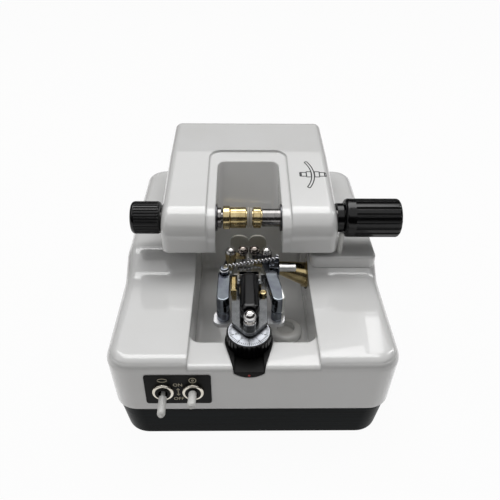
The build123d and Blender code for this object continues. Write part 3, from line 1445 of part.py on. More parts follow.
def left_chuck():
    """Brass chuck with its collar, and the neck that carries the pad."""
    x1 = left_chuck_start()
    x0 = x1 - LEFT_CHUCK_L
    body = rod_x(CHUCK_R, x0, x1, CHUCK_Y, CHUCK_Z)
    body = chamfer(body.edges().filter_by(GeomType.CIRCLE), ROUND / 2)
    body = slotted(body, CHUCK_R, x0, x1)
    collar = rod_x(COLLAR_R, x0 - COLLAR_L, x0, CHUCK_Y, CHUCK_Z)
    body += fillet(collar.edges().filter_by(GeomType.CIRCLE), ROUND)
    body += rod_x(NECK_R, x1 - ROUND, x1 + NECK_L, CHUCK_Y, CHUCK_Z)
    return body - rod_x(SHAFT_R + FIT, x0 - COLLAR_L - 1, x1 - LEFT_CHUCK_L / 2 + FIT, CHUCK_Y, CHUCK_Z)


def pad(x0):
    """White pad that holds the lens."""
    disc = rod_x(PAD_R, x0, x0 + PAD_T, CHUCK_Y, CHUCK_Z)
    return fillet(disc.edges().filter_by(GeomType.CIRCLE), ROUND / 2)


def left_pad():
    """Left lens pad."""
    return pad(SEAM_X - PAD_GAP / 2 - PAD_T)


def right_pad():
    """Right lens pad."""
    return pad(SEAM_X + PAD_GAP / 2)


def right_chuck():
    """Brass ring that carries the right pad, and its shaft in the quill."""
    x0 = SEAM_X + PAD_GAP / 2 + PAD_T
    x1 = x0 + NECK_L
    x2 = x1 + RIGHT_CHUCK_L
    ring = rod_x(CHUCK_R, x1, x2, CHUCK_Y, CHUCK_Z)
    ring = chamfer(ring.edges().filter_by(GeomType.CIRCLE), ROUND / 2)
    ring = slotted(ring, CHUCK_R, x1, x2)
    ring += rod_x(NECK_R, x0, x2 + NECK_L, CHUCK_Y, CHUCK_Z)
    return ring + rod_x(INNER_SHAFT_R, x2, HEAD_X1 + RIGHT_KNOB_L / 2, CHUCK_Y, CHUCK_Z)


def quill_start():
    """Where the clamp quill begins behind the right chuck."""
    return SEAM_X + PAD_GAP / 2 + PAD_T + NECK_L + RIGHT_CHUCK_L + NECK_L + GAP


def collar_place():
    """Where the quill's spring collar begins."""
    return frame_plates()[2][1] + 4 * ROUND


def clamp_quill():
    """Sliding tube that carries the right chuck's shaft, with a spring collar."""
    x1 = HEAD_X1 + COLLAR_NECK_L + KNOB_GAP + RIGHT_KNOB_L / 2
    quill = rod_x(QUILL_R, quill_start(), x1, CHUCK_Y, CHUCK_Z)
    x0 = collar_place()
    quill += rod_x(QUILL_COLLAR_R, x0, x0 + QUILL_COLLAR_L, CHUCK_Y, CHUCK_Z)
    return quill - rod_x(INNER_SHAFT_R + FIT, 0, x1 + 1, CHUCK_Y, CHUCK_Z)


def clamp_spring():
    """Spring round the quill that presses the pads together."""
    x0 = collar_place() + QUILL_COLLAR_L + FIT
    x1 = frame_plates()[3][0] - FIT
    spring = rod_x(QUILL_COLLAR_R, x0, x1, CHUCK_Y, CHUCK_Z)
    return spring - rod_x(QUILL_R + GAP, x0 - 1, x1 + 1, CHUCK_Y, CHUCK_Z)


def clamp_knob():
    """Large knob that draws the right chuck back."""
    x0 = HEAD_X1 + COLLAR_NECK_L + KNOB_GAP
    x1 = x0 + RIGHT_KNOB_L
    plain = x0 + RIGHT_KNOB_L * (1 - RIGHT_FLUTE_SHARE)
    knob = fluted(RIGHT_KNOB_R, x0, x1, RIGHT_KNOB_FLUTES, RIGHT_FLUTE_R, plain, x1 + 1)
    return knob - rod_x(QUILL_R + FIT, x0 - 1, x0 + RIGHT_KNOB_L / 2 + FIT, CHUCK_Y, CHUCK_Z)


def power_supply():
    """Transformer and control board in the pan, the board on four stand-offs."""
    floor = FOOT_H + PAN_WALL
    w, depth, h = TRANSFORMER
    x0 = TRANSFORMER_X - w / 2
    y1 = DEPTH - SUPPLY_REAR_Y
    core = block(x0, x0 + w, y1 - depth, y1, floor, floor + h)
    coil = block(x0 + w / 4, x0 + 3 * w / 4, y1 - depth - WALL, y1 + WALL, floor + h / 5, floor + 4 * h / 5)
    bw, bd, bt = BOARD
    bx = BOARD_X - bw / 2
    board = block(bx, bx + bw, y1 - bd + WALL, y1 + WALL, floor + BOARD_STAND, floor + BOARD_STAND + bt)
    for x in (bx + BOSS_R, bx + bw - BOSS_R):
        for y in (y1 - bd + WALL + BOSS_R, y1 + WALL - BOSS_R):
            board += rod_z(BOSS_R / 2, floor, floor + BOARD_STAND, x, y)
    top = floor + BOARD_STAND + bt
    board += block(bx + bw / 4, bx + bw / 2, y1 - bd / 2, y1 - bd / 4, top, top + 2 * BOARD_STAND)
    return [core + coil, board]


def rear_connectors():
    """Mains inlet and fuse holder through the rear wall."""
    w, depth, h = INLET
    inlet = inlet_space(0)
    flange = block(
        INLET_X - w / 2 - WALL,
        INLET_X + w / 2 + WALL,
        DEPTH,
        DEPTH + REAR_PROUD,
        REAR_FITTING_Z - h / 2 - WALL,
        REAR_FITTING_Z + h / 2 + WALL,
    )
    inlet += fillet(flange.edges().filter_by(Axis.Y), WALL)
    inlet -= block(
        INLET_X - w / 2 + WALL,
        INLET_X + w / 2 - WALL,
        DEPTH - depth + 2 * WALL,
        TALL * 2,
        REAR_FITTING_Z - h / 2 + WALL,
        REAR_FITTING_Z + h / 2 - WALL,
    )
    for x in (INLET_X - w / 4, INLET_X, INLET_X + w / 4):
        pin = Pos(x, DEPTH - depth / 2, REAR_FITTING_Z) * Box(2 * ROUND, depth - 2 * WALL, 2 * PIN_HALF)
        inlet += pin
    fuse = rod_y(FUSE_R, DEPTH - FUSE_L, DEPTH, FUSE_X, REAR_FITTING_Z)
    fuse += rod_y(FUSE_R + WALL, DEPTH, DEPTH + REAR_PROUD, FUSE_X, REAR_FITTING_Z)
    return [inlet, fuse]


NODES = [
    base_pan,
    rubber_feet,
    base_screws,
    top_shell,
    drain_cup,
    motor_cover,
    wheel_motor,
    spindle_housing,
    spindle_seal,
    splash_guard,
    head_rest_post,
    switch_plate,
    toggle_switches,
    switch_nuts,
    dial_holder,
    guide_block,
    hinge_bracket,
    power_supply,
    rear_connectors,
    head_shell,
    head_bottom_cover,
    head_screws,
    head_frame,
    spindle_bushes,
    notch_washers,
    clamp_neck,
    hinge_shaft,
    lens_motor,
    drive_belt,
    motor_pulley,
    left_knob,
    left_shaft,
    left_chuck,
    left_pad,
    spindle_pulley,
    clamp_knob,
    clamp_quill,
    clamp_spring,
    right_chuck,
    right_pad,
    grinding_wheel,
    wheel_shaft,
    dial_knob,
    dial_face,
    carriage,
    guide_plate,
    lift_screw,
    bridge_bar,
    adjusting_block,
    lock_pin,
    left_arm,
    right_arm,
    left_roller_post,
    right_roller_post,
    left_roller,
    right_roller,
    arm_spring,
    guide_lever,
    lens_toggle,
    wheel_toggle,
]


def save():
    """Write one STEP file per piece, about the machine's bottom centre."""
    os.makedirs("parts", exist_ok=True)
    for make in NODES:
        made = make()
        if isinstance(made, list):
            made = Compound(children=made)
        export_step(made.moved(Location((-ORIGIN_X, -ORIGIN_Y, 0))), f"parts/{make.__name__}.step")


save()
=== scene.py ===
import math

import bmesh
import bpy
from mathutils import Matrix, Quaternion, Vector


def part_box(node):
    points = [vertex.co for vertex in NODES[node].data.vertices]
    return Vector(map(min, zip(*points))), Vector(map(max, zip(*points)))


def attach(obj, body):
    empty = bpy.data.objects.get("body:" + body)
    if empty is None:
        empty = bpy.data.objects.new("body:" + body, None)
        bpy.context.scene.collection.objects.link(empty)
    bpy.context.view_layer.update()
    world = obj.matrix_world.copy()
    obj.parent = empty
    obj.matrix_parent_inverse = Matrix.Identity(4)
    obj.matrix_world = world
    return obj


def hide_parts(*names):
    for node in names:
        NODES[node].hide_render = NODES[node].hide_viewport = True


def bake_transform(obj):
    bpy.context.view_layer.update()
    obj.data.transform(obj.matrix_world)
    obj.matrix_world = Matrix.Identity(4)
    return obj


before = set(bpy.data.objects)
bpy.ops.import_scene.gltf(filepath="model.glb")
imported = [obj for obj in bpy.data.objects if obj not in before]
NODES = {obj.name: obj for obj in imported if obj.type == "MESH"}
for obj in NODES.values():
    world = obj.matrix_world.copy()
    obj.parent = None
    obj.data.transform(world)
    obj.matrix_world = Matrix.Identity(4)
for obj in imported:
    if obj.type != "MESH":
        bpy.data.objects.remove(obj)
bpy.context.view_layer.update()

MM = 0.001

# The top shell's middle and front face place the machine in the frame
SHELL_LOW, SHELL_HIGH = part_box("top_shell")
MIDDLE_X = (SHELL_LOW.x + SHELL_HIGH.x) / 2 / MM
FRONT_Y = SHELL_LOW.y / MM

# Camera
LENS_PX = 544.0465      # focal length in pixels of the 500 pixel frame
FRAME_PX = 500
SENSOR = 36.0
CAMERA_AT = (-8.5219, -248.5001, 355.1091)      # right of the middle, behind the front, above the bench
PITCH_DEG = 36.1606
YAW_DEG = 1.1320
ROLL_DEG = -0.6872


def place(x, y, z):
    """A place in the frame from millimetres right of the middle, behind the front, above the bench."""
    return Vector(((x + MIDDLE_X) * MM, (y + FRONT_Y) * MM, z * MM))


def centre(node):
    """The middle of a CAD node's box."""
    low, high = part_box(node)
    return (low + high) / 2


# Node building

class Paint:
    """A material under construction, with short names for its nodes."""

    def __init__(self, name, **values):
        self.material = bpy.data.materials.new(name)
        self.material.use_nodes = True
        self.tree = self.material.node_tree
        self.shader = self.tree.nodes["Principled BSDF"]
        self.coords = self.tree.nodes.new("ShaderNodeTexCoord").outputs["Object"]
        for socket, value in values.items():
            self.shader.inputs[socket.replace("_", " ")].default_value = value
        self.normal = None      # what shapes the surface so far

    def node(self, kind, inputs=(), **settings):
        """A new node with its inputs set to values or joined to sockets."""
        made = self.tree.nodes.new("ShaderNode" + kind)
        for key, value in settings.items():
            setattr(made, key, value)
        for key, value in dict(inputs).items():
            if isinstance(value, bpy.types.NodeSocket):
                self.tree.links.new(value, made.inputs[key])
            else:
                made.inputs[key].default_value = value
        return made

    def math(self, operation, a, b=0.0, c=0.0):
        """A sum, product or other function of numbers."""
        return self.node("Math", {0: a, 1: b, 2: c}, operation=operation).outputs[0]

    def noise(self, scale, detail=3.0, stretch=(1, 1, 1), roughness=0.5):
        """Noise from 0 to 1, scale in waves per metre."""
        where = self.node("Mapping", {"Vector": self.coords, "Scale": stretch}).outputs[0]
        inputs = {"Vector": where, "Scale": scale, "Detail": detail, "Roughness": roughness}
        return self.node("TexNoise", inputs).outputs["Fac"]

    def spread(self, value, low, high, start=0.3, end=0.7):
        """A value from start to end, spread over low to high."""
        inputs = {"Value": value, "From Min": start, "From Max": end, "To Min": low, "To Max": high}
        return self.node("MapRange", inputs).outputs[0]

    def mix(self, share, first, second):
        """A colour between two colours."""
        return self.node("Mix", {0: share, 6: first, 7: second}, data_type="RGBA").outputs[2]

    def colour(self, value):
        self.tree.links.new(value, self.shader.inputs["Base Color"])

    def rough(self, value):
        self.tree.links.new(value, self.shader.inputs["Roughness"])

    def bump(self, height, depth, strength=1.0):
        """Adds relief of a depth in metres."""
        inputs = {"Height": height, "Distance": depth, "Strength": strength}
        if self.normal is not None:
            inputs["Normal"] = self.normal
        self.normal = self.node("Bump", inputs).outputs[0]
        self.tree.links.new(self.normal, self.shader.inputs["Normal"])

    def soften(self, radius):
        """Rounds sharp edges by a radius in metres, in the shading alone."""
        self.normal = self.node("Bevel", {"Radius": radius}, samples=4).outputs[0]
        self.tree.links.new(self.normal, self.shader.inputs["Normal"])

    def along_and_out(self, point, axis):
        """Distance along an axis plus distance from it, which draws a lathe's rings on any turned face."""
        offset = self.node("VectorMath", {0: self.coords, 1: point}, operation="SUBTRACT").outputs[0]
        dot = self.node("VectorMath", {0: offset, 1: axis}, operation="DOT_PRODUCT").outputs["Value"]
        line = self.node("VectorMath", {0: axis, "Scale": dot}, operation="SCALE").outputs[0]
        out = self.node("VectorMath", {0: offset, 1: line}, operation="SUBTRACT").outputs[0]
        far = self.node("VectorMath", {0: out}, operation="LENGTH").outputs["Value"]
        return self.math("ADD", dot, far)

    def rings(self, point, axis, per_metre):
        """Fine uneven turning lines."""
        way = self.along_and_out(point, axis)
        where = self.node("CombineXYZ", {0: self.math("MULTIPLY", way, per_metre)}).outputs[0]
        return self.node("TexNoise", {"Vector": where, "Scale": 1.0, "Detail": 4.0}).outputs["Fac"]


def rgb(r, g, b):
    """A solid colour."""
    return (r, g, b, 1.0)


def moulding(name, base, shade, rough):
    """Glossy moulded cover: faint orange peel, uneven gloss and a little handling dirt."""
    p = Paint(name, IOR=1.5, Coat_Weight=0.8, Coat_Roughness=0.03)
    p.soften(2.0 * MM)
    stains = p.spread(p.noise(26, 2), 0.0, 1.0, 0.25, 0.75)
    p.colour(p.mix(stains, base, shade))
    p.rough(p.spread(p.noise(40, 2), rough - 0.015, rough + 0.02))
    p.bump(p.noise(320, 1), 0.02 * MM, 0.25)
    return p.material


def shell_white():
    """Outer covers."""
    return moulding("shell_white", rgb(0.77, 0.77, 0.765), rgb(0.745, 0.742, 0.73), 0.16)


def inner_white():
    """Drain cup, a little yellower and duller."""
    return moulding("inner_white", rgb(0.78, 0.78, 0.76), rgb(0.72, 0.715, 0.69), 0.25)


def guard_grey():
    """Splash guard."""
    return moulding("guard_grey", rgb(0.52, 0.51, 0.45), rgb(0.44, 0.43, 0.37), 0.15)


def pan_black():
    """Black enamel with faint streaks along the sides."""
    p = Paint("pan_black", IOR=1.5, Specular_IOR_Level=0.06)
    p.soften(0.6 * MM)
    streaks = p.noise(420, 4, (0.025, 0.025, 1))
    p.colour(p.mix(p.spread(streaks, 0, 1), rgb(0.0015, 0.0025, 0.0030), rgb(0.009, 0.012, 0.013)))
    p.rough(p.spread(streaks, 0.22, 0.42))
    p.bump(streaks, 0.05 * MM, 0.5)
    return p.material


def knob_black():
    """Polished black moulding with faint scuffs."""
    p = Paint("knob_black", IOR=1.5, Specular_IOR_Level=0.35)
    p.soften(0.3 * MM)
    scuffs = p.noise(700, 5, (1, 1, 1), 0.7)
    worn = p.spread(scuffs, 0, 1, 0.55, 0.8)
    p.colour(p.mix(worn, rgb(0.0015, 0.0015, 0.0020), rgb(0.008, 0.0085, 0.010)))
    p.rough(p.spread(scuffs, 0.10, 0.26))
    p.bump(p.noise(900, 2), 0.01 * MM, 0.3)
    return p.material


def black_plastic():
    """Satin black plate with a fine grain."""
    p = Paint("black_plastic", IOR=1.48, Specular_IOR_Level=0.10)
    p.soften(0.2 * MM)
    grain = p.noise(2600, 3)
    p.colour(p.mix(p.spread(p.noise(120), 0, 1), rgb(0.003, 0.003, 0.003), rgb(0.008, 0.008, 0.0075)))
    p.rough(p.spread(grain, 0.32, 0.5))
    p.bump(grain, 0.02 * MM, 0.4)
    return p.material


def rubber_black():
    """Matt rubber with a coarse grain."""
    p = Paint("rubber_black", IOR=1.5)
    grain = p.noise(1800, 4)
    p.colour(p.mix(p.spread(grain, 0, 1), rgb(0.022, 0.022, 0.022), rgb(0.045, 0.044, 0.042)))
    p.rough(p.spread(grain, 0.6, 0.85))
    p.bump(grain, 0.05 * MM, 0.5)
    return p.material


def metal(name, base, worn, rough, rings=None, scratch=(1, 1, 1)):
    """Bare metal: cloudy colour, fine scratches and, where it was turned, a lathe's rings."""
    p = Paint(name, Metallic=1.0)
    p.soften(0.15 * MM)
    cloud = p.noise(160, 4)
    p.colour(p.mix(p.spread(cloud, 0, 1), base, worn))
    marks = p.noise(1500, 4, scratch, 0.65)
    p.rough(p.spread(marks, max(0.03, rough - 0.06), rough + 0.10))
    p.bump(marks, 0.008 * MM, 0.35)
    if rings:
        point, axis, per_metre = rings
        p.bump(p.rings(point, axis, per_metre), 0.02 * MM, 0.5)
    return p.material


# Directions, and the lines that turned parts are ringed round
RIGHT = Vector((1, 0, 0))
REARWARD = Vector((0, 1, 0))
UPRIGHT = Vector((0, 0, 1))
LENS_AXIS_Y = 118.0             # the chucks' axis, behind the front
LENS_AXIS_Z = 119.3             # and above the bench
CHUCK_LINE = (place(0, LENS_AXIS_Y, LENS_AXIS_Z), RIGHT)
SPINDLE_TILT = math.radians(16.5)
SPINDLE_LINE = (centre("grinding_wheel"), Vector((math.cos(SPINDLE_TILT), 0, -math.sin(SPINDLE_TILT))))

# Metals, each with its clean and its dull tone
STEEL = (rgb(0.56, 0.56, 0.57), rgb(0.43, 0.43, 0.44))
CHROME = (rgb(0.74, 0.73, 0.72), rgb(0.60, 0.59, 0.58))
BRASS = (rgb(0.60, 0.49, 0.27), rgb(0.40, 0.31, 0.15))
NICKEL = (rgb(0.78, 0.74, 0.66), rgb(0.62, 0.58, 0.50))
DARK = (rgb(0.12, 0.12, 0.125), rgb(0.06, 0.06, 0.065))
ALUMINIUM = (rgb(0.72, 0.72, 0.73), rgb(0.58, 0.58, 0.59))
PLATE_STEEL = (rgb(0.20, 0.205, 0.21), rgb(0.13, 0.135, 0.14))
ARM_STEEL = (rgb(0.26, 0.29, 0.31), rgb(0.17, 0.18, 0.22))
SPRING_STEEL = (rgb(0.72, 0.72, 0.74), rgb(0.62, 0.62, 0.64))
# Roller balls: polished steel given a dark, warm colour, a painted reflection of the dark surroundings and
# of the brass chucks above
BALL_STEEL_PAINTED_REFLECTION = (rgb(0.34, 0.30, 0.27), rgb(0.24, 0.21, 0.19))
QUILL_STEEL = (rgb(0.27, 0.26, 0.255), rgb(0.17, 0.165, 0.16))
DIAL_SILVER = (rgb(0.46, 0.48, 0.51), rgb(0.34, 0.35, 0.38))
SCREW_WHITE = rgb(0.78, 0.78, 0.76)
KNURL_CREST = rgb(0.22, 0.22, 0.22)

INK_BLACK = rgb(0.012, 0.012, 0.013)
INK_CREAM = rgb(0.72, 0.66, 0.50)
INK_RED = rgb(0.45, 0.02, 0.015)

SUBSURFACE_REACH = (MM, MM, MM)


def white_pad():
    """Soft white pad face, slightly soiled."""
    p = Paint("white_pad", IOR=1.45, Subsurface_Weight=0.15)
    p.shader.inputs["Subsurface Radius"].default_value = SUBSURFACE_REACH
    grain = p.noise(1400, 4)
    p.colour(p.mix(p.spread(grain, 0, 1), rgb(0.50, 0.47, 0.41), rgb(0.34, 0.31, 0.26)))
    p.rough(p.spread(grain, 0.5, 0.75))
    p.bump(grain, 0.04 * MM, 0.5)
    return p.material


def white_plastic():
    """White sleeve plastic."""
    p = Paint("white_plastic", IOR=1.49, Subsurface_Weight=0.1)
    p.shader.inputs["Subsurface Radius"].default_value = SUBSURFACE_REACH
    grain = p.noise(900, 3)
    p.colour(p.mix(p.spread(grain, 0, 1), rgb(0.80, 0.80, 0.78), rgb(0.70, 0.695, 0.67)))
    p.rough(p.spread(grain, 0.3, 0.45))
    p.bump(grain, 0.03 * MM, 0.4)
    return p.material


POST_TOP_Z = 95.3       # where a roller post ends and its dome nut begins
STOP_SCREW_X = 21.4     # where the stop screw leaves the right arm
STEP_BLUR = 0.02 * MM   # half the width of the change between two finishes
KNURL_STARTS = 14       # grooves each way round a knurl
KNURL_RISE = 2200       # their climb, in radians for each metre


def step_at(p, axis, where):
    """Nought below a place along X, Y or Z in millimetres of the machine, one above it."""
    edge = place(where, where, where)[axis]
    at = p.node("SeparateXYZ", {0: p.coords}).outputs[axis]
    return p.spread(at, 0.0, 1.0, edge - STEP_BLUR, edge + STEP_BLUR)


def post_brass():
    """Brass roller post under a chrome dome nut."""
    p = Paint("post_brass", Metallic=1.0)
    top = step_at(p, 2, POST_TOP_Z)
    cloud = p.mix(p.spread(p.noise(300, 4), 0, 1), *BRASS)
    p.colour(p.mix(top, cloud, CHROME[0]))
    marks = p.spread(p.noise(1500, 4), 0.14, 0.3)
    p.rough(p.math("SUBTRACT", marks, p.math("MULTIPLY", top, 0.09)))
    p.bump(p.rings(centre("left_roller_post"), UPRIGHT, 5000), 0.03 * MM, 0.5)
    return p.material


def arm_steel():
    """Mirror-bright arm; the stop screw on the right one is paler and duller."""
    p = Paint("arm_steel", Metallic=1.0)
    p.soften(0.3 * MM)
    screw = step_at(p, 0, STOP_SCREW_X)
    cloud = p.mix(p.spread(p.noise(90, 3), 0, 1), *ARM_STEEL)
    p.colour(p.mix(screw, cloud, SCREW_WHITE))
    marks = p.spread(p.noise(1300, 4, (6, 1, 1)), 0.05, 0.13)
    p.rough(p.math("ADD", marks, p.math("MULTIPLY", screw, 0.25)))
    p.bump(p.noise(160, 2), 0.05 * MM, 0.4)
    return p.material


def knurled():
    """Blackened steel with a diamond knurl round an upright axis, under a chrome dome nut."""
    p = Paint("knurled", Metallic=1.0)
    middle = centre("right_roller_post")
    offset = p.node("VectorMath", {0: p.coords, 1: middle}, operation="SUBTRACT").outputs[0]
    parts = p.node("SeparateXYZ", {0: offset})
    turn = p.math("ARCTAN2", parts.outputs[1], parts.outputs[0])
    rise = p.math("MULTIPLY", parts.outputs[2], KNURL_RISE)
    across = p.math("MULTIPLY", turn, KNURL_STARTS)
    one = p.math("SINE", p.math("ADD", across, rise))
    other = p.math("SINE", p.math("SUBTRACT", across, rise))
    cut = p.math("MULTIPLY", one, other)
    top = step_at(p, 2, POST_TOP_Z)
    steel = p.mix(p.spread(cut, 0, 1, -0.5, 0.6), DARK[1], KNURL_CREST)
    p.colour(p.mix(top, steel, CHROME[0]))
    rough = p.spread(p.noise(800), 0.25, 0.4)
    p.rough(p.math("SUBTRACT", rough, p.math("MULTIPLY", top, 0.18)))
    p.bump(p.math("MULTIPLY", cut, p.math("SUBTRACT", 1.0, top)), 0.12 * MM, 0.9)
    return p.material


def board_green():
    """Circuit board with paler tracks."""
    p = Paint("board_green", IOR=1.5)
    tracks = p.noise(300, 2, (1, 6, 1))
    p.colour(p.mix(p.spread(tracks, 0, 1, 0.45, 0.55), rgb(0.02, 0.16, 0.07), rgb(0.04, 0.26, 0.12)))
    p.rough(p.spread(tracks, 0.3, 0.5))
    return p.material


def wheel_grit():
    """Diamond rim of the grinding wheel."""
    p = Paint("wheel_grit", Metallic=0.8)
    grit = p.noise(6000, 3)
    p.colour(p.mix(p.spread(grit, 0, 1), rgb(0.22, 0.22, 0.22), rgb(0.62, 0.60, 0.57)))
    p.rough(p.spread(grit, 0.3, 0.6))
    p.bump(grit, 0.06 * MM, 0.8)
    return p.material


def ink(name, base, rough=0.45):
    """Printed or filled marking."""
    p = Paint(name, IOR=1.45)
    speck = p.noise(3000, 3)
    p.colour(p.mix(p.spread(speck, 0, 0.35), base, tuple(0.7 * v for v in base[:3]) + (1.0,)))
    p.rough(p.spread(speck, rough - 0.1, rough + 0.1))
    return p.material


def turned(name, tones, rough, line, per_metre=9000):
    """Metal turned round a line, a place and a direction."""
    return metal(name, *tones, rough, (line[0], line[1], per_metre))


def face_silver():
    """Satin dial face, brushed round its middle."""
    return turned("face_silver", DIAL_SILVER, 0.30, (centre("dial_face"), UPRIGHT), 14000)


def nut_nickel():
    """Nickel of the two dress nuts, ringed round the middle between them."""
    return turned("nickel_nuts", NICKEL, 0.20, (centre("switch_nuts"), REARWARD), 3000)


def build_materials():
    """One material for each kind of surface."""
    return {
        "mirror": metal("plate_mirror", *PLATE_STEEL, 0.12),
        "guard": guard_grey(),
        "post": post_brass(),
        "shell": shell_white(),
        "inner": inner_white(),
        "pan": pan_black(),
        "knob": knob_black(),
        "plate": black_plastic(),
        "rubber": rubber_black(),
        "pad": white_pad(),
        "sleeve": white_plastic(),
        "knurl": knurled(),
        "board": board_green(),
        "grit": wheel_grit(),
        "arm": arm_steel(),
        "steel": metal("steel", *STEEL, 0.24),
        "chrome": metal("chrome", *CHROME, 0.07),
        "polished": metal("polished", *SPRING_STEEL, 0.05),
        "dark": metal("dark_steel", *DARK, 0.33),
        # the roller balls' dark, warm colour is a painted reflection
        "ball": metal("ball_steel_painted_reflection", *BALL_STEEL_PAINTED_REFLECTION, 0.06),
        "casting": metal("casting", *ALUMINIUM, 0.38),
        "brass": metal("brass", *BRASS, 0.20),
        "chuck_brass": turned("chuck_brass", BRASS, 0.17, CHUCK_LINE),
        "quill": turned("quill_steel", QUILL_STEEL, 0.20, CHUCK_LINE),
        "spindle_brass": turned("spindle_brass", BRASS, 0.2, SPINDLE_LINE),
        "spindle_steel": turned("spindle_steel", STEEL, 0.2, SPINDLE_LINE),
        "nickel": nut_nickel(),
        "face": face_silver(),
    }


# The CAD nodes that wear each material
NODE_LOOKS = {
    "shell": ["top_shell", "motor_cover", "head_shell"],
    "inner": ["drain_cup"],
    "guard": ["splash_guard"],
    "mirror": ["guide_plate", "bridge_bar"],
    "pan": ["base_pan"],
    "knob": ["left_knob", "clamp_knob", "dial_knob", "guide_lever", "clamp_neck"],
    "plate": ["switch_plate", "dial_holder", "toggle_switches", "rear_connectors", "head_bottom_cover"],
    "rubber": ["rubber_feet", "spindle_seal", "drive_belt"],
    "pad": ["left_pad", "right_pad"],
    "sleeve": ["lens_toggle", "wheel_toggle", "head_rest_post"],
    "knurl": ["right_roller_post"],
    "board": ["power_supply"],
    "grit": ["grinding_wheel"],
    "arm": ["left_arm", "right_arm"],
    "steel": ["base_screws", "head_screws", "hinge_shaft", "hinge_bracket", "lift_screw"],
    "chrome": ["lock_pin"],
    "ball": ["left_roller", "right_roller"],
    "polished": ["arm_spring", "clamp_spring"],
    "dark": ["notch_washers", "wheel_motor", "lens_motor"],
    "casting": ["guide_block", "carriage", "head_frame", "motor_pulley", "spindle_pulley"],
    "brass": ["adjusting_block"],
    "post": ["left_roller_post"],
    "chuck_brass": ["left_chuck", "right_chuck", "spindle_bushes"],
    "quill": ["clamp_quill", "left_shaft"],
    "spindle_brass": ["spindle_housing"],
    "spindle_steel": ["wheel_shaft"],
    "nickel": ["switch_nuts"],
    "face": ["dial_face"],
}


def dress(materials):
    """Gives each CAD node its material."""
    for look, names in NODE_LOOKS.items():
        for name in names:
            data = NODES[name].data
            if not data.materials:
                data.materials.append(None)
            for slot in NODES[name].material_slots:
                slot.link = "OBJECT"
                slot.material = materials[look]


# Mesh building

def add_piece(name, mesh, material, body):
    """Links a mesh as a piece that rides on a body."""
    mesh.materials.clear()
    mesh.materials.append(material)
    made = bpy.data.objects.new(name, mesh)
    bpy.context.scene.collection.objects.link(made)
    if body:
        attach(made, body)
    return made


def mesh_from(name, vertices, faces, smooth=False):
    """A mesh from points and faces, with its faces turned outward."""
    mesh = bpy.data.meshes.new(name)
    mesh.from_pydata([tuple(v) for v in vertices], [], faces)
    work = bmesh.new()
    work.from_mesh(mesh)
    bmesh.ops.recalc_face_normals(work, faces=work.faces)
    work.to_mesh(mesh)
    work.free()
    if smooth:
        mesh.shade_smooth()
    return mesh


def tube(points, radius, sides=10):
    """Vertices and faces of a round tube along points, closed at its ends."""
    vertices, faces = [], []
    count = len(points)
    normal = (points[1] - points[0]).orthogonal().normalized()
    for i, point in enumerate(points):
        ahead = points[min(i + 1, count - 1)] - points[max(i - 1, 0)]
        ahead.normalize()
        normal = (normal - ahead * normal.dot(ahead)).normalized()
        other = ahead.cross(normal)
        for k in range(sides):
            turn = 2 * math.pi * k / sides
            vertices.append(point + (normal * math.cos(turn) + other * math.sin(turn)) * radius)
    for i in range(count - 1):
        for k in range(sides):
            a, b = i * sides + k, i * sides + (k + 1) % sides
            faces.append((a, b, b + sides, a + sides))
    faces.append(tuple(range(sides)))
    faces.append(tuple(range((count - 1) * sides, count * sides)))
    return vertices, faces


def bar_along(points, half_width, thickness, up):
    """A flat printed line along points: a low box with its side edges square to up."""
    vertices, faces = [], []
    count = len(points)
    for i, point in enumerate(points):
        ahead = (points[min(i + 1, count - 1)] - points[max(i - 1, 0)]).normalized()
        side = up.cross(ahead).normalized() * half_width
        lift = up * thickness
        vertices += [point - side, point + side, point + side + lift, point - side + lift]
    for i in range(count - 1):
        a = 4 * i
        for k in range(4):
            faces.append((a + k, a + (k + 1) % 4, a + 4 + (k + 1) % 4, a + 4 + k))
    last = 4 * (count - 1)
    faces.append((0, 1, 2, 3))
    faces.append((last, last + 1, last + 2, last + 3))
    return vertices, faces


def joined(parts):
    """One list of vertices and faces from several."""
    vertices, faces = [], []
    for more, its_faces in parts:
        start = len(vertices)
        vertices += more
        faces += [tuple(start + i for i in face) for face in its_faces]
    return vertices, faces


def arc(middle, radius, start_deg, end_deg, steps, along, up):
    """Points on an arc in the plane of two directions."""
    points = []
    for i in range(steps + 1):
        turn = math.radians(start_deg + (end_deg - start_deg) * i / steps)
        points.append(middle + (along * math.cos(turn) + up * math.sin(turn)) * radius)
    return points


def words(name, text, size, origin, along, up, thickness, material, body):
    """Raised print: plain characters centred on a place, reading along one direction."""
    font = bpy.data.curves.new(name + "_curve", "FONT")
    font.body = text
    font.size = size
    font.align_x = "CENTER"
    font.align_y = "CENTER"
    font.extrude = thickness / 2
    font.resolution_u = 3
    source = bpy.data.objects.new(name + "_source", font)
    bpy.context.scene.collection.objects.link(source)
    graph = bpy.context.evaluated_depsgraph_get()
    mesh = bpy.data.meshes.new_from_object(source.evaluated_get(graph))
    bpy.data.objects.remove(source)
    out = along.cross(up).normalized()
    turn = Matrix((along.normalized(), up.normalized(), out)).transposed().to_4x4()
    mesh.transform(Matrix.Translation(origin + out * thickness / 2) @ turn)
    mesh.name = name
    return add_piece(name, mesh, material, body)


# Dial

DIAL_MARKS = 60
DIAL_NUMBERS = 10
MARK_OUTER = 14.2 * MM
MARK_INNER = 12.3 * MM
LONG_MARK_INNER = 11.2 * MM
MARK_HALF_WIDTH = 0.26 * MM
LONG_MARK_WIDENING = 1.6
NUMBER_RADIUS = 9.2 * MM
NUMBER_SIZE = 4.0 * MM
PRINT = 0.05 * MM       # thickness of all print


def on_dial(share):
    """Outward and clockwise directions at a share of a turn from the dial's front."""
    turn = 2 * math.pi * share
    return Vector((math.sin(turn), -math.cos(turn), 0)), Vector((math.cos(turn), math.sin(turn), 0))


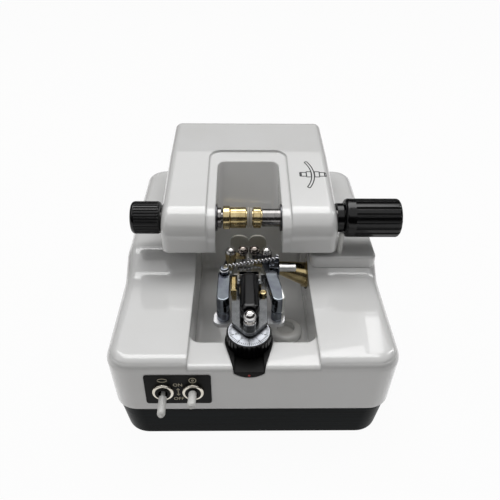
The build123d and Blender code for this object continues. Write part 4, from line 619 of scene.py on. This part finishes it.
def dial_markings(material):
    """Graduations and plain numbers on the dial's face."""
    low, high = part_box("dial_face")
    middle = Vector(((low.x + high.x) / 2, (low.y + high.y) / 2, high.z))
    parts = []
    for i in range(DIAL_MARKS):
        out, _ = on_dial(i / DIAL_MARKS)
        inner, half_width = MARK_INNER, MARK_HALF_WIDTH
        if i % (DIAL_MARKS // DIAL_NUMBERS) == 0:
            inner, half_width = LONG_MARK_INNER, MARK_HALF_WIDTH * LONG_MARK_WIDENING
        line = [middle + out * inner, middle + out * MARK_OUTER]
        parts.append(bar_along(line, half_width, PRINT, UPRIGHT))
    marks = mesh_from("dial_graduations", *joined(parts))
    add_piece("dial_graduations", marks, material, "dial")
    for i in range(DIAL_NUMBERS):
        out, along = on_dial(i / DIAL_NUMBERS)
        at = middle + out * NUMBER_RADIUS
        name = f"dial_number_{i}"
        words(name, str(i), NUMBER_SIZE, at, along, -out, PRINT, material, "dial")


SPOT_PROFILE = ((1.0, 0.0), (1.0, 0.6), (0.88, 0.9), (0.5, 1.0))     # shares of radius and height


def disc(name, middle, radius, out, thickness, material, body, sides=32):
    """A low round spot with a softened rim, standing on a face."""
    across = out.orthogonal().normalized()
    other = out.cross(across)
    vertices, faces = [], []
    for wide, high in SPOT_PROFILE:
        for k in range(sides):
            turn = 2 * math.pi * k / sides
            side = across * math.cos(turn) + other * math.sin(turn)
            vertices.append(middle + side * radius * wide + out * thickness * high)
    for i in range(len(SPOT_PROFILE) - 1):
        for k in range(sides):
            a, b = i * sides + k, i * sides + (k + 1) % sides
            faces.append((a, b, b + sides, a + sides))
    faces.append(tuple(range(sides)))
    faces.append(tuple(range(len(vertices) - sides, len(vertices))))
    return add_piece(name, mesh_from(name, vertices, faces), material, body)


INDEX_RISE = 1.9 * MM
INDEX_R = 0.9 * MM
INDEX_HEIGHT = 0.12 * MM


def index_mark(material):
    """Index spot on the front of the dial's holder."""
    low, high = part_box("dial_holder")
    at = Vector(((low.x + high.x) / 2, low.y, low.z + INDEX_RISE))
    disc("index_mark", at, INDEX_R, -REARWARD, INDEX_HEIGHT, material, "base")


# Switch plate's print

WORD_SIZE = 4.2 * MM
ON_RISE = 6.2 * MM              # words above and below the nuts' middle
OFF_DROP = 8.0 * MM
ARROW_HALF = 3.6 * MM
ARROW_DROP = 0.9 * MM
ARROW_WING = 1.1 * MM
ARROW_SWEEP = 1.4               # a wing's height as a share of its width
PLATE_SIGN_LINE = 0.22 * MM
PLATE_SIGN_DROP = 4.6 * MM      # signs below the plate's upper edge
NUT_R = 7.5 * MM
LENS_SIGN_R = 5.2 * MM
LENS_SIGN_OFFSET = 3.6 * MM     # from the sign to the middle of each of its two arcs
LENS_SIGN_HALF_DEG = 40
LENS_SIGN_STEPS = 14
WHEEL_SIGN_R = 2.4 * MM
WHEEL_SIGN_STEPS = 28
BORE_SIGN_R = 0.7 * MM
BORE_SIGN_STEPS = 16


def arrow_lines(middle):
    """An upright arrow with a head at each end."""
    foot, head = (middle + UPRIGHT * s * ARROW_HALF for s in (-1, 1))
    lines = [[foot, head]]
    for end, s in ((head, -1), (foot, 1)):
        for side in (-1, 1):
            lines.append([end, end + Vector((side * ARROW_WING, 0, s * ARROW_SWEEP * ARROW_WING))])
    return lines


def lens_lines(middle):
    """A lens seen from its edge: two arcs that meet."""
    lines = []
    for side in (-1, 1):
        start = side * 90 - LENS_SIGN_HALF_DEG
        end = side * 90 + LENS_SIGN_HALF_DEG
        away = middle - UPRIGHT * side * LENS_SIGN_OFFSET
        lines.append(arc(away, LENS_SIGN_R, start, end, LENS_SIGN_STEPS, RIGHT, UPRIGHT))
    return lines


def wheel_lines(middle):
    """A wheel and its bore."""
    rim = arc(middle, WHEEL_SIGN_R, 0, 360, WHEEL_SIGN_STEPS, RIGHT, UPRIGHT)
    bore = arc(middle, BORE_SIGN_R, 0, 360, BORE_SIGN_STEPS, RIGHT, UPRIGHT)
    return [rim, bore]


def plate_print(material):
    """ON and OFF with an arrow between, and a sign above each switch."""
    low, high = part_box("switch_plate")
    nuts_low, nuts_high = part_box("switch_nuts")
    nut_z = (nuts_low.z + nuts_high.z) / 2
    middle_x = (low.x + high.x) / 2
    for name, text, rise in (("word_on", "ON", ON_RISE), ("word_off", "OFF", -OFF_DROP)):
        at = Vector((middle_x, low.y, nut_z + rise))
        words(name, text, WORD_SIZE, at, RIGHT, UPRIGHT, PRINT, material, "base")
    nut_x = (nuts_high.x - nuts_low.x) / 2 - NUT_R
    sign_z = high.z - PLATE_SIGN_DROP
    lines = arrow_lines(Vector((middle_x, low.y, nut_z - ARROW_DROP)))
    lines += lens_lines(Vector((middle_x - nut_x, low.y, sign_z)))
    lines += wheel_lines(Vector((middle_x + nut_x, low.y, sign_z)))
    parts = [bar_along(points, PLATE_SIGN_LINE, PRINT, -REARWARD) for points in lines]
    add_piece("plate_signs", mesh_from("plate_signs", *joined(parts)), material, "base")


# Sign on the head

HEAD_SIGN_AT = (51.6, 157.5)    # right of the middle and behind the front
HEAD_SIGN_SIZE = 1.28
HEAD_SIGN_LINE = 0.48 * MM
HEAD_SIGN_PRINT = 0.06 * MM
HEAD_SIGN_SLOPE = 0.22          # how the face falls towards the front, as a share of its run
ABOVE_HEAD_Z = 200              # where the sign's points are dropped from
SIGN_BOW = 26.0                 # radius of the drawn lens, in the sign's own units
SIGN_EDGE = 0.9                 # half the lens's thickness
SIGN_DEG = 32                   # half its arc
SIGN_STEPS = 14
SIGN_SEAT = 1.1                 # from the lens's middle to a chuck
SIGN_CHUCK = 3.2                # a chuck's length and half its width
SIGN_CHUCK_HALF = 2.8
SIGN_SHAFT_END = 7.4            # the shaft's end, from the chuck's seat
SIGN_SHAFT_HALF = 2.0
SIGN_CAP = 0.8                  # the cap's length and half its width
SIGN_CAP_HALF = 1.6


def on_head(u, v):
    """A point of the head's sign, dropped onto the head: u to the right, v to the rear."""
    x, y = HEAD_SIGN_AT
    start = place(x, y, ABOVE_HEAD_Z) + Vector((u * MM, v * MM, 0)) * HEAD_SIGN_SIZE
    hit, at, _, _ = NODES["head_shell"].ray_cast(start, -UPRIGHT)
    return at if hit else start


def closer(line, pieces=4):
    """The same line with points set between its own, so that it follows a curved face."""
    points = [line[0]]
    for (ax, ay), (bx, by) in zip(line, line[1:]):
        for k in range(1, pieces + 1):
            share = k / pieces
            points.append((ax + (bx - ax) * share, ay + (by - ay) * share))
    return points


def sign_lines():
    """A lens edge held between two chucks, as lines in the sign's own units."""
    lines = []
    for r in (SIGN_BOW - SIGN_EDGE, SIGN_BOW + SIGN_EDGE):
        curve = []
        for i in range(SIGN_STEPS + 1):
            turn = math.radians(-SIGN_DEG + 2 * SIGN_DEG * i / SIGN_STEPS)
            curve.append((r * math.cos(turn) - SIGN_BOW, r * math.sin(turn)))
        lines.append(curve)
    for end in (-SIGN_DEG, SIGN_DEG):
        turn = math.radians(end)
        rims = (SIGN_BOW - SIGN_EDGE, SIGN_BOW + SIGN_EDGE)
        lines.append([(r * math.cos(turn) - SIGN_BOW, r * math.sin(turn)) for r in rims])
    for side in (-1, 1):
        seat = side * SIGN_SEAT
        chuck_end, shaft_end = seat + side * SIGN_CHUCK, seat + side * SIGN_SHAFT_END
        boxes = (
            (seat, chuck_end, SIGN_CHUCK_HALF),
            (chuck_end, shaft_end, SIGN_SHAFT_HALF),
            (shaft_end - side * SIGN_CAP, shaft_end, SIGN_CAP_HALF),
        )
        for x0, x1, half in boxes:
            lines.append([(x0, -half), (x1, -half), (x1, half), (x0, half), (x0, -half)])
    return lines


def head_sign(material):
    """The sign, printed on the head's curved front."""
    up = Vector((0, -HEAD_SIGN_SLOPE, 1)).normalized()
    parts = []
    for line in sign_lines():
        points = [on_head(u, v) for u, v in closer(line)]
        for a, b in zip(points, points[1:]):
            parts.append(bar_along([a, b], HEAD_SIGN_LINE, HEAD_SIGN_PRINT, up))
    add_piece("head_sign", mesh_from("head_sign", *joined(parts)), material, "head")


# Springs

SPRING_Z = 97.0
SPRING_LEFT = (-21.5, 79.2)     # the screw on the left arm
SPRING_RIGHT = (19.5, 95.6)     # the post on the right arm
SPRING_HOOK_R = 3.5 * MM        # the open hook at its left end
SPRING_HOOK_STEPS = 28
SPRING_END_R = 1.9 * MM         # the half loop at its right end
SPRING_END_STEPS = 16
SPRING_LEAD = 2.0 * MM          # from a loop's middle to the first curl
SPRING_WIRE = 0.48 * MM         # half the wire's thickness
SPRING_COIL_R = 1.3 * MM
SPRING_TURNS = 14
CLAMP_COIL_R = 8.0 * MM
CLAMP_WIRE = 0.6 * MM
CLAMP_TURNS = 7
TURN_POINTS = 14                # points on each turn of a coil


def helix(start, end, radius, turns, across, up):
    """Points of a coil from one place to another."""
    steps = int(turns * TURN_POINTS)
    points = []
    for i in range(steps + 1):
        turn = 2 * math.pi * i / TURN_POINTS
        middle = start.lerp(end, i / steps)
        points.append(middle + across * radius * math.cos(turn) + up * radius * math.sin(turn))
    return points


def arm_spring(material):
    """Stretched coil between the arms, in two halves that meet in the middle."""
    left = place(*SPRING_LEFT, SPRING_Z)
    right = place(*SPRING_RIGHT, SPRING_Z)
    along = (right - left).normalized()
    across = UPRIGHT.cross(along)
    start = left + across * SPRING_HOOK_R + along * SPRING_LEAD
    end = right - across * SPRING_END_R - along * SPRING_LEAD
    hook = arc(left, SPRING_HOOK_R, 0, -270, SPRING_HOOK_STEPS, along, across)
    tail = arc(right, SPRING_END_R, -90, 90, SPRING_END_STEPS, along, across)
    coil_along = (end - start).normalized()
    coil_across = UPRIGHT.cross(coil_along)
    coil = helix(start, end, SPRING_COIL_R, SPRING_TURNS, coil_across, UPRIGHT)
    middle = start.lerp(end, 0.5)
    half = len(coil) // 2
    for name, points, ends, reach in (
        ("arm_spring_left", hook + coil[:half + 1], ("arm_left", "guide_carriage"), (start, middle)),
        ("arm_spring_right", coil[half:] + tail, ("guide_carriage", "arm_right"), (middle, end)),
    ):
        mesh = mesh_from(name, *tube(points, SPRING_WIRE), smooth=True)
        made = add_piece(name, mesh, material, None)
        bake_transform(made)
        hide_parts("arm_spring")


def clamp_spring(material):
    """Coil round the clamp quill, between its collar and the right frame plate."""
    low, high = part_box("clamp_spring")
    middle = (low + high) / 2
    start = Vector((low.x + CLAMP_WIRE, middle.y, middle.z))
    end = Vector((high.x - CLAMP_WIRE, middle.y, middle.z))
    points = helix(start, end, CLAMP_COIL_R, CLAMP_TURNS, REARWARD, UPRIGHT)
    mesh = mesh_from("clamp_coil", *tube(points, CLAMP_WIRE), smooth=True)
    made = add_piece("clamp_coil", mesh, material, None)
    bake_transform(made)
    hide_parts("clamp_spring")


# Stage, light and camera

FLOOR_HALF = 4.0        # metres
FLOOR_GLOW = 0.96       # how much of the white background the camera and reflections see
WALL_R = 1.3
WALL_HEIGHT = 1.15
WALL_SIDES = 48


def stage():
    """Plain pale floor that keeps the machine's shadow."""
    corners = [Vector((x * FLOOR_HALF, y * FLOOR_HALF, 0)) for x, y in ((-1, -1), (1, -1), (1, 1), (-1, 1))]
    floor = mesh_from("floor", corners, [(0, 1, 2, 3)])
    p = Paint("floor_white", Roughness=0.9)
    p.colour(p.mix(p.spread(p.noise(3), 0, 1), rgb(0.62, 0.61, 0.60), rgb(0.60, 0.59, 0.58)))
    light = p.node("LightPath")
    seen = p.math("MAXIMUM", light.outputs["Is Camera Ray"], light.outputs["Is Glossy Ray"])
    seen = p.math("MAXIMUM", seen, light.outputs["Is Transmission Ray"])
    glow = p.node("Emission", {"Color": rgb(1, 1, 1), "Strength": 1.0})
    share = p.math("MULTIPLY", seen, FLOOR_GLOW)
    mixed = p.node("MixShader", {0: share, 1: p.shader.outputs[0], 2: glow.outputs[0]})
    output = p.tree.nodes["Material Output"]
    p.tree.links.new(mixed.outputs[0], output.inputs["Surface"])
    floor.materials.append(p.material)
    made = bpy.data.objects.new("floor", floor)
    bpy.context.scene.collection.objects.link(made)


def dark_walls():
    """A dark wall round the studio, which only polished metal and gloss reflect."""
    vertices, faces = [], []
    for z in (0.0, WALL_HEIGHT):
        for k in range(WALL_SIDES):
            turn = 2 * math.pi * k / WALL_SIDES
            vertices.append(Vector((WALL_R * math.cos(turn), WALL_R * math.sin(turn), z)))
    for k in range(WALL_SIDES):
        after = (k + 1) % WALL_SIDES
        faces.append((k, after, WALL_SIDES + after, WALL_SIDES + k))
    p = Paint("wall_dark", Roughness=0.9)
    p.colour(p.mix(p.spread(p.noise(2), 0, 1), rgb(0.055, 0.050, 0.048), rgb(0.035, 0.032, 0.030)))
    made = bpy.data.objects.new("wall", mesh_from("wall", vertices, faces))
    made.data.materials.append(p.material)
    made.visible_camera = False
    made.visible_diffuse = False
    made.visible_shadow = False
    bpy.context.scene.collection.objects.link(made)


def lamp(name, at, target, size, power, turn=0.0):
    """A rectangular soft lamp that faces a place, turned about its own axis."""
    data = bpy.data.lights.new(name, "AREA")
    data.shape = "RECTANGLE"
    data.size, data.size_y = size
    data.energy = power
    made = bpy.data.objects.new(name, data)
    made.location = at
    made.rotation_mode = "QUATERNION"
    facing = (Vector(target) - Vector(at)).to_track_quat("-Z", "Y")
    made.rotation_quaternion = facing @ Quaternion((0, 0, 1), turn)
    bpy.context.scene.collection.objects.link(made)


# Soft lamps, in metres and watts: place, what it faces, size and power
LAMPS = {
    "top_lamp": ((-0.08, 0.42, 1.25), (0, 0, 0.05), (1.1, 0.8), 10.0),
    "left_lamp": ((-1.0, -0.3, 0.7), (0, 0, 0.08), (0.5, 0.8), 1.0),
    "window_lamp": ((0.80, 0.35, 0.70), (0.06, -0.08, 0.08), (0.10, 0.6), 1.2),
}

# Two panes of a window, mirrored in the deck: middle and size of each, all at one height
WINDOW_PANES = (((0.395, 0.827), (0.042, 0.159)), ((0.408, 0.985), (0.044, 0.120)))
WINDOW_Z = 1.0
WINDOW_TURN = math.radians(-5.6)
WINDOW_GLOW = 12.0      # watts for each square metre

ROOM_LEVEL = 0.25       # strength of the white room as light on the machine
SEEN_LEVEL = 1.0        # and as the camera and reflections see it


def lights():
    """The lamps and the window's panes."""
    for name, values in LAMPS.items():
        lamp(name, *values)
    for (x, y), (width, length) in WINDOW_PANES:
        power = WINDOW_GLOW * length * width
        lamp("window_pane", (x, y, WINDOW_Z), (x, y, 0), (width, length), power, WINDOW_TURN)


def room():
    """A white room, brighter to the eye than as a light."""
    world = bpy.data.worlds.new("studio")
    bpy.context.scene.world = world
    world.use_nodes = True
    tree = world.node_tree
    light = tree.nodes.new("ShaderNodeLightPath")
    seen = light.outputs["Is Camera Ray"]
    for ray in ("Is Glossy Ray", "Is Transmission Ray"):
        more = tree.nodes.new("ShaderNodeMath")
        more.operation = "MAXIMUM"
        tree.links.new(seen, more.inputs[0])
        tree.links.new(light.outputs[ray], more.inputs[1])
        seen = more.outputs[0]
    strength = tree.nodes.new("ShaderNodeMapRange")
    tree.links.new(seen, strength.inputs["Value"])
    strength.inputs["To Min"].default_value = ROOM_LEVEL
    strength.inputs["To Max"].default_value = SEEN_LEVEL
    background = tree.nodes["Background"]
    background.inputs["Color"].default_value = (1, 1, 1, 1)
    tree.links.new(strength.outputs[0], background.inputs["Strength"])


def camera():
    """The photograph's camera."""
    pitch, yaw, roll = (math.radians(a) for a in (PITCH_DEG, YAW_DEG, ROLL_DEG))
    ahead = Vector((math.sin(yaw) * math.cos(pitch), math.cos(yaw) * math.cos(pitch), -math.sin(pitch)))
    right = Vector((math.cos(yaw), -math.sin(yaw), 0))
    down = ahead.cross(right)
    turned_right = right * math.cos(roll) + down * math.sin(roll)
    turned_down = down * math.cos(roll) - right * math.sin(roll)
    data = bpy.data.cameras.new("camera")
    data.sensor_width = SENSOR
    data.lens = LENS_PX / FRAME_PX * SENSOR
    data.clip_start, data.clip_end = 0.01, 20.0
    made = bpy.data.objects.new("camera", data)
    turn = Matrix((turned_right, -turned_down, -ahead)).transposed().to_4x4()
    made.matrix_world = Matrix.Translation(place(*CAMERA_AT)) @ turn
    bpy.context.scene.collection.objects.link(made)
    bpy.context.scene.camera = made
    bpy.context.scene.view_settings.view_transform = "Standard"


def main():
    """Dresses the machine, adds its print and springs, and sets up the studio."""
    materials = build_materials()
    dress(materials)
    black_ink = ink("black_ink", INK_BLACK)
    cream_ink = ink("cream_ink", INK_CREAM)
    red_ink = ink("red_ink", INK_RED)
    dial_markings(black_ink)
    index_mark(red_ink)
    plate_print(cream_ink)
    head_sign(black_ink)
    arm_spring(materials["polished"])
    clamp_spring(materials["steel"])
    stage()
    dark_walls()
    lights()
    room()
    camera()


main()
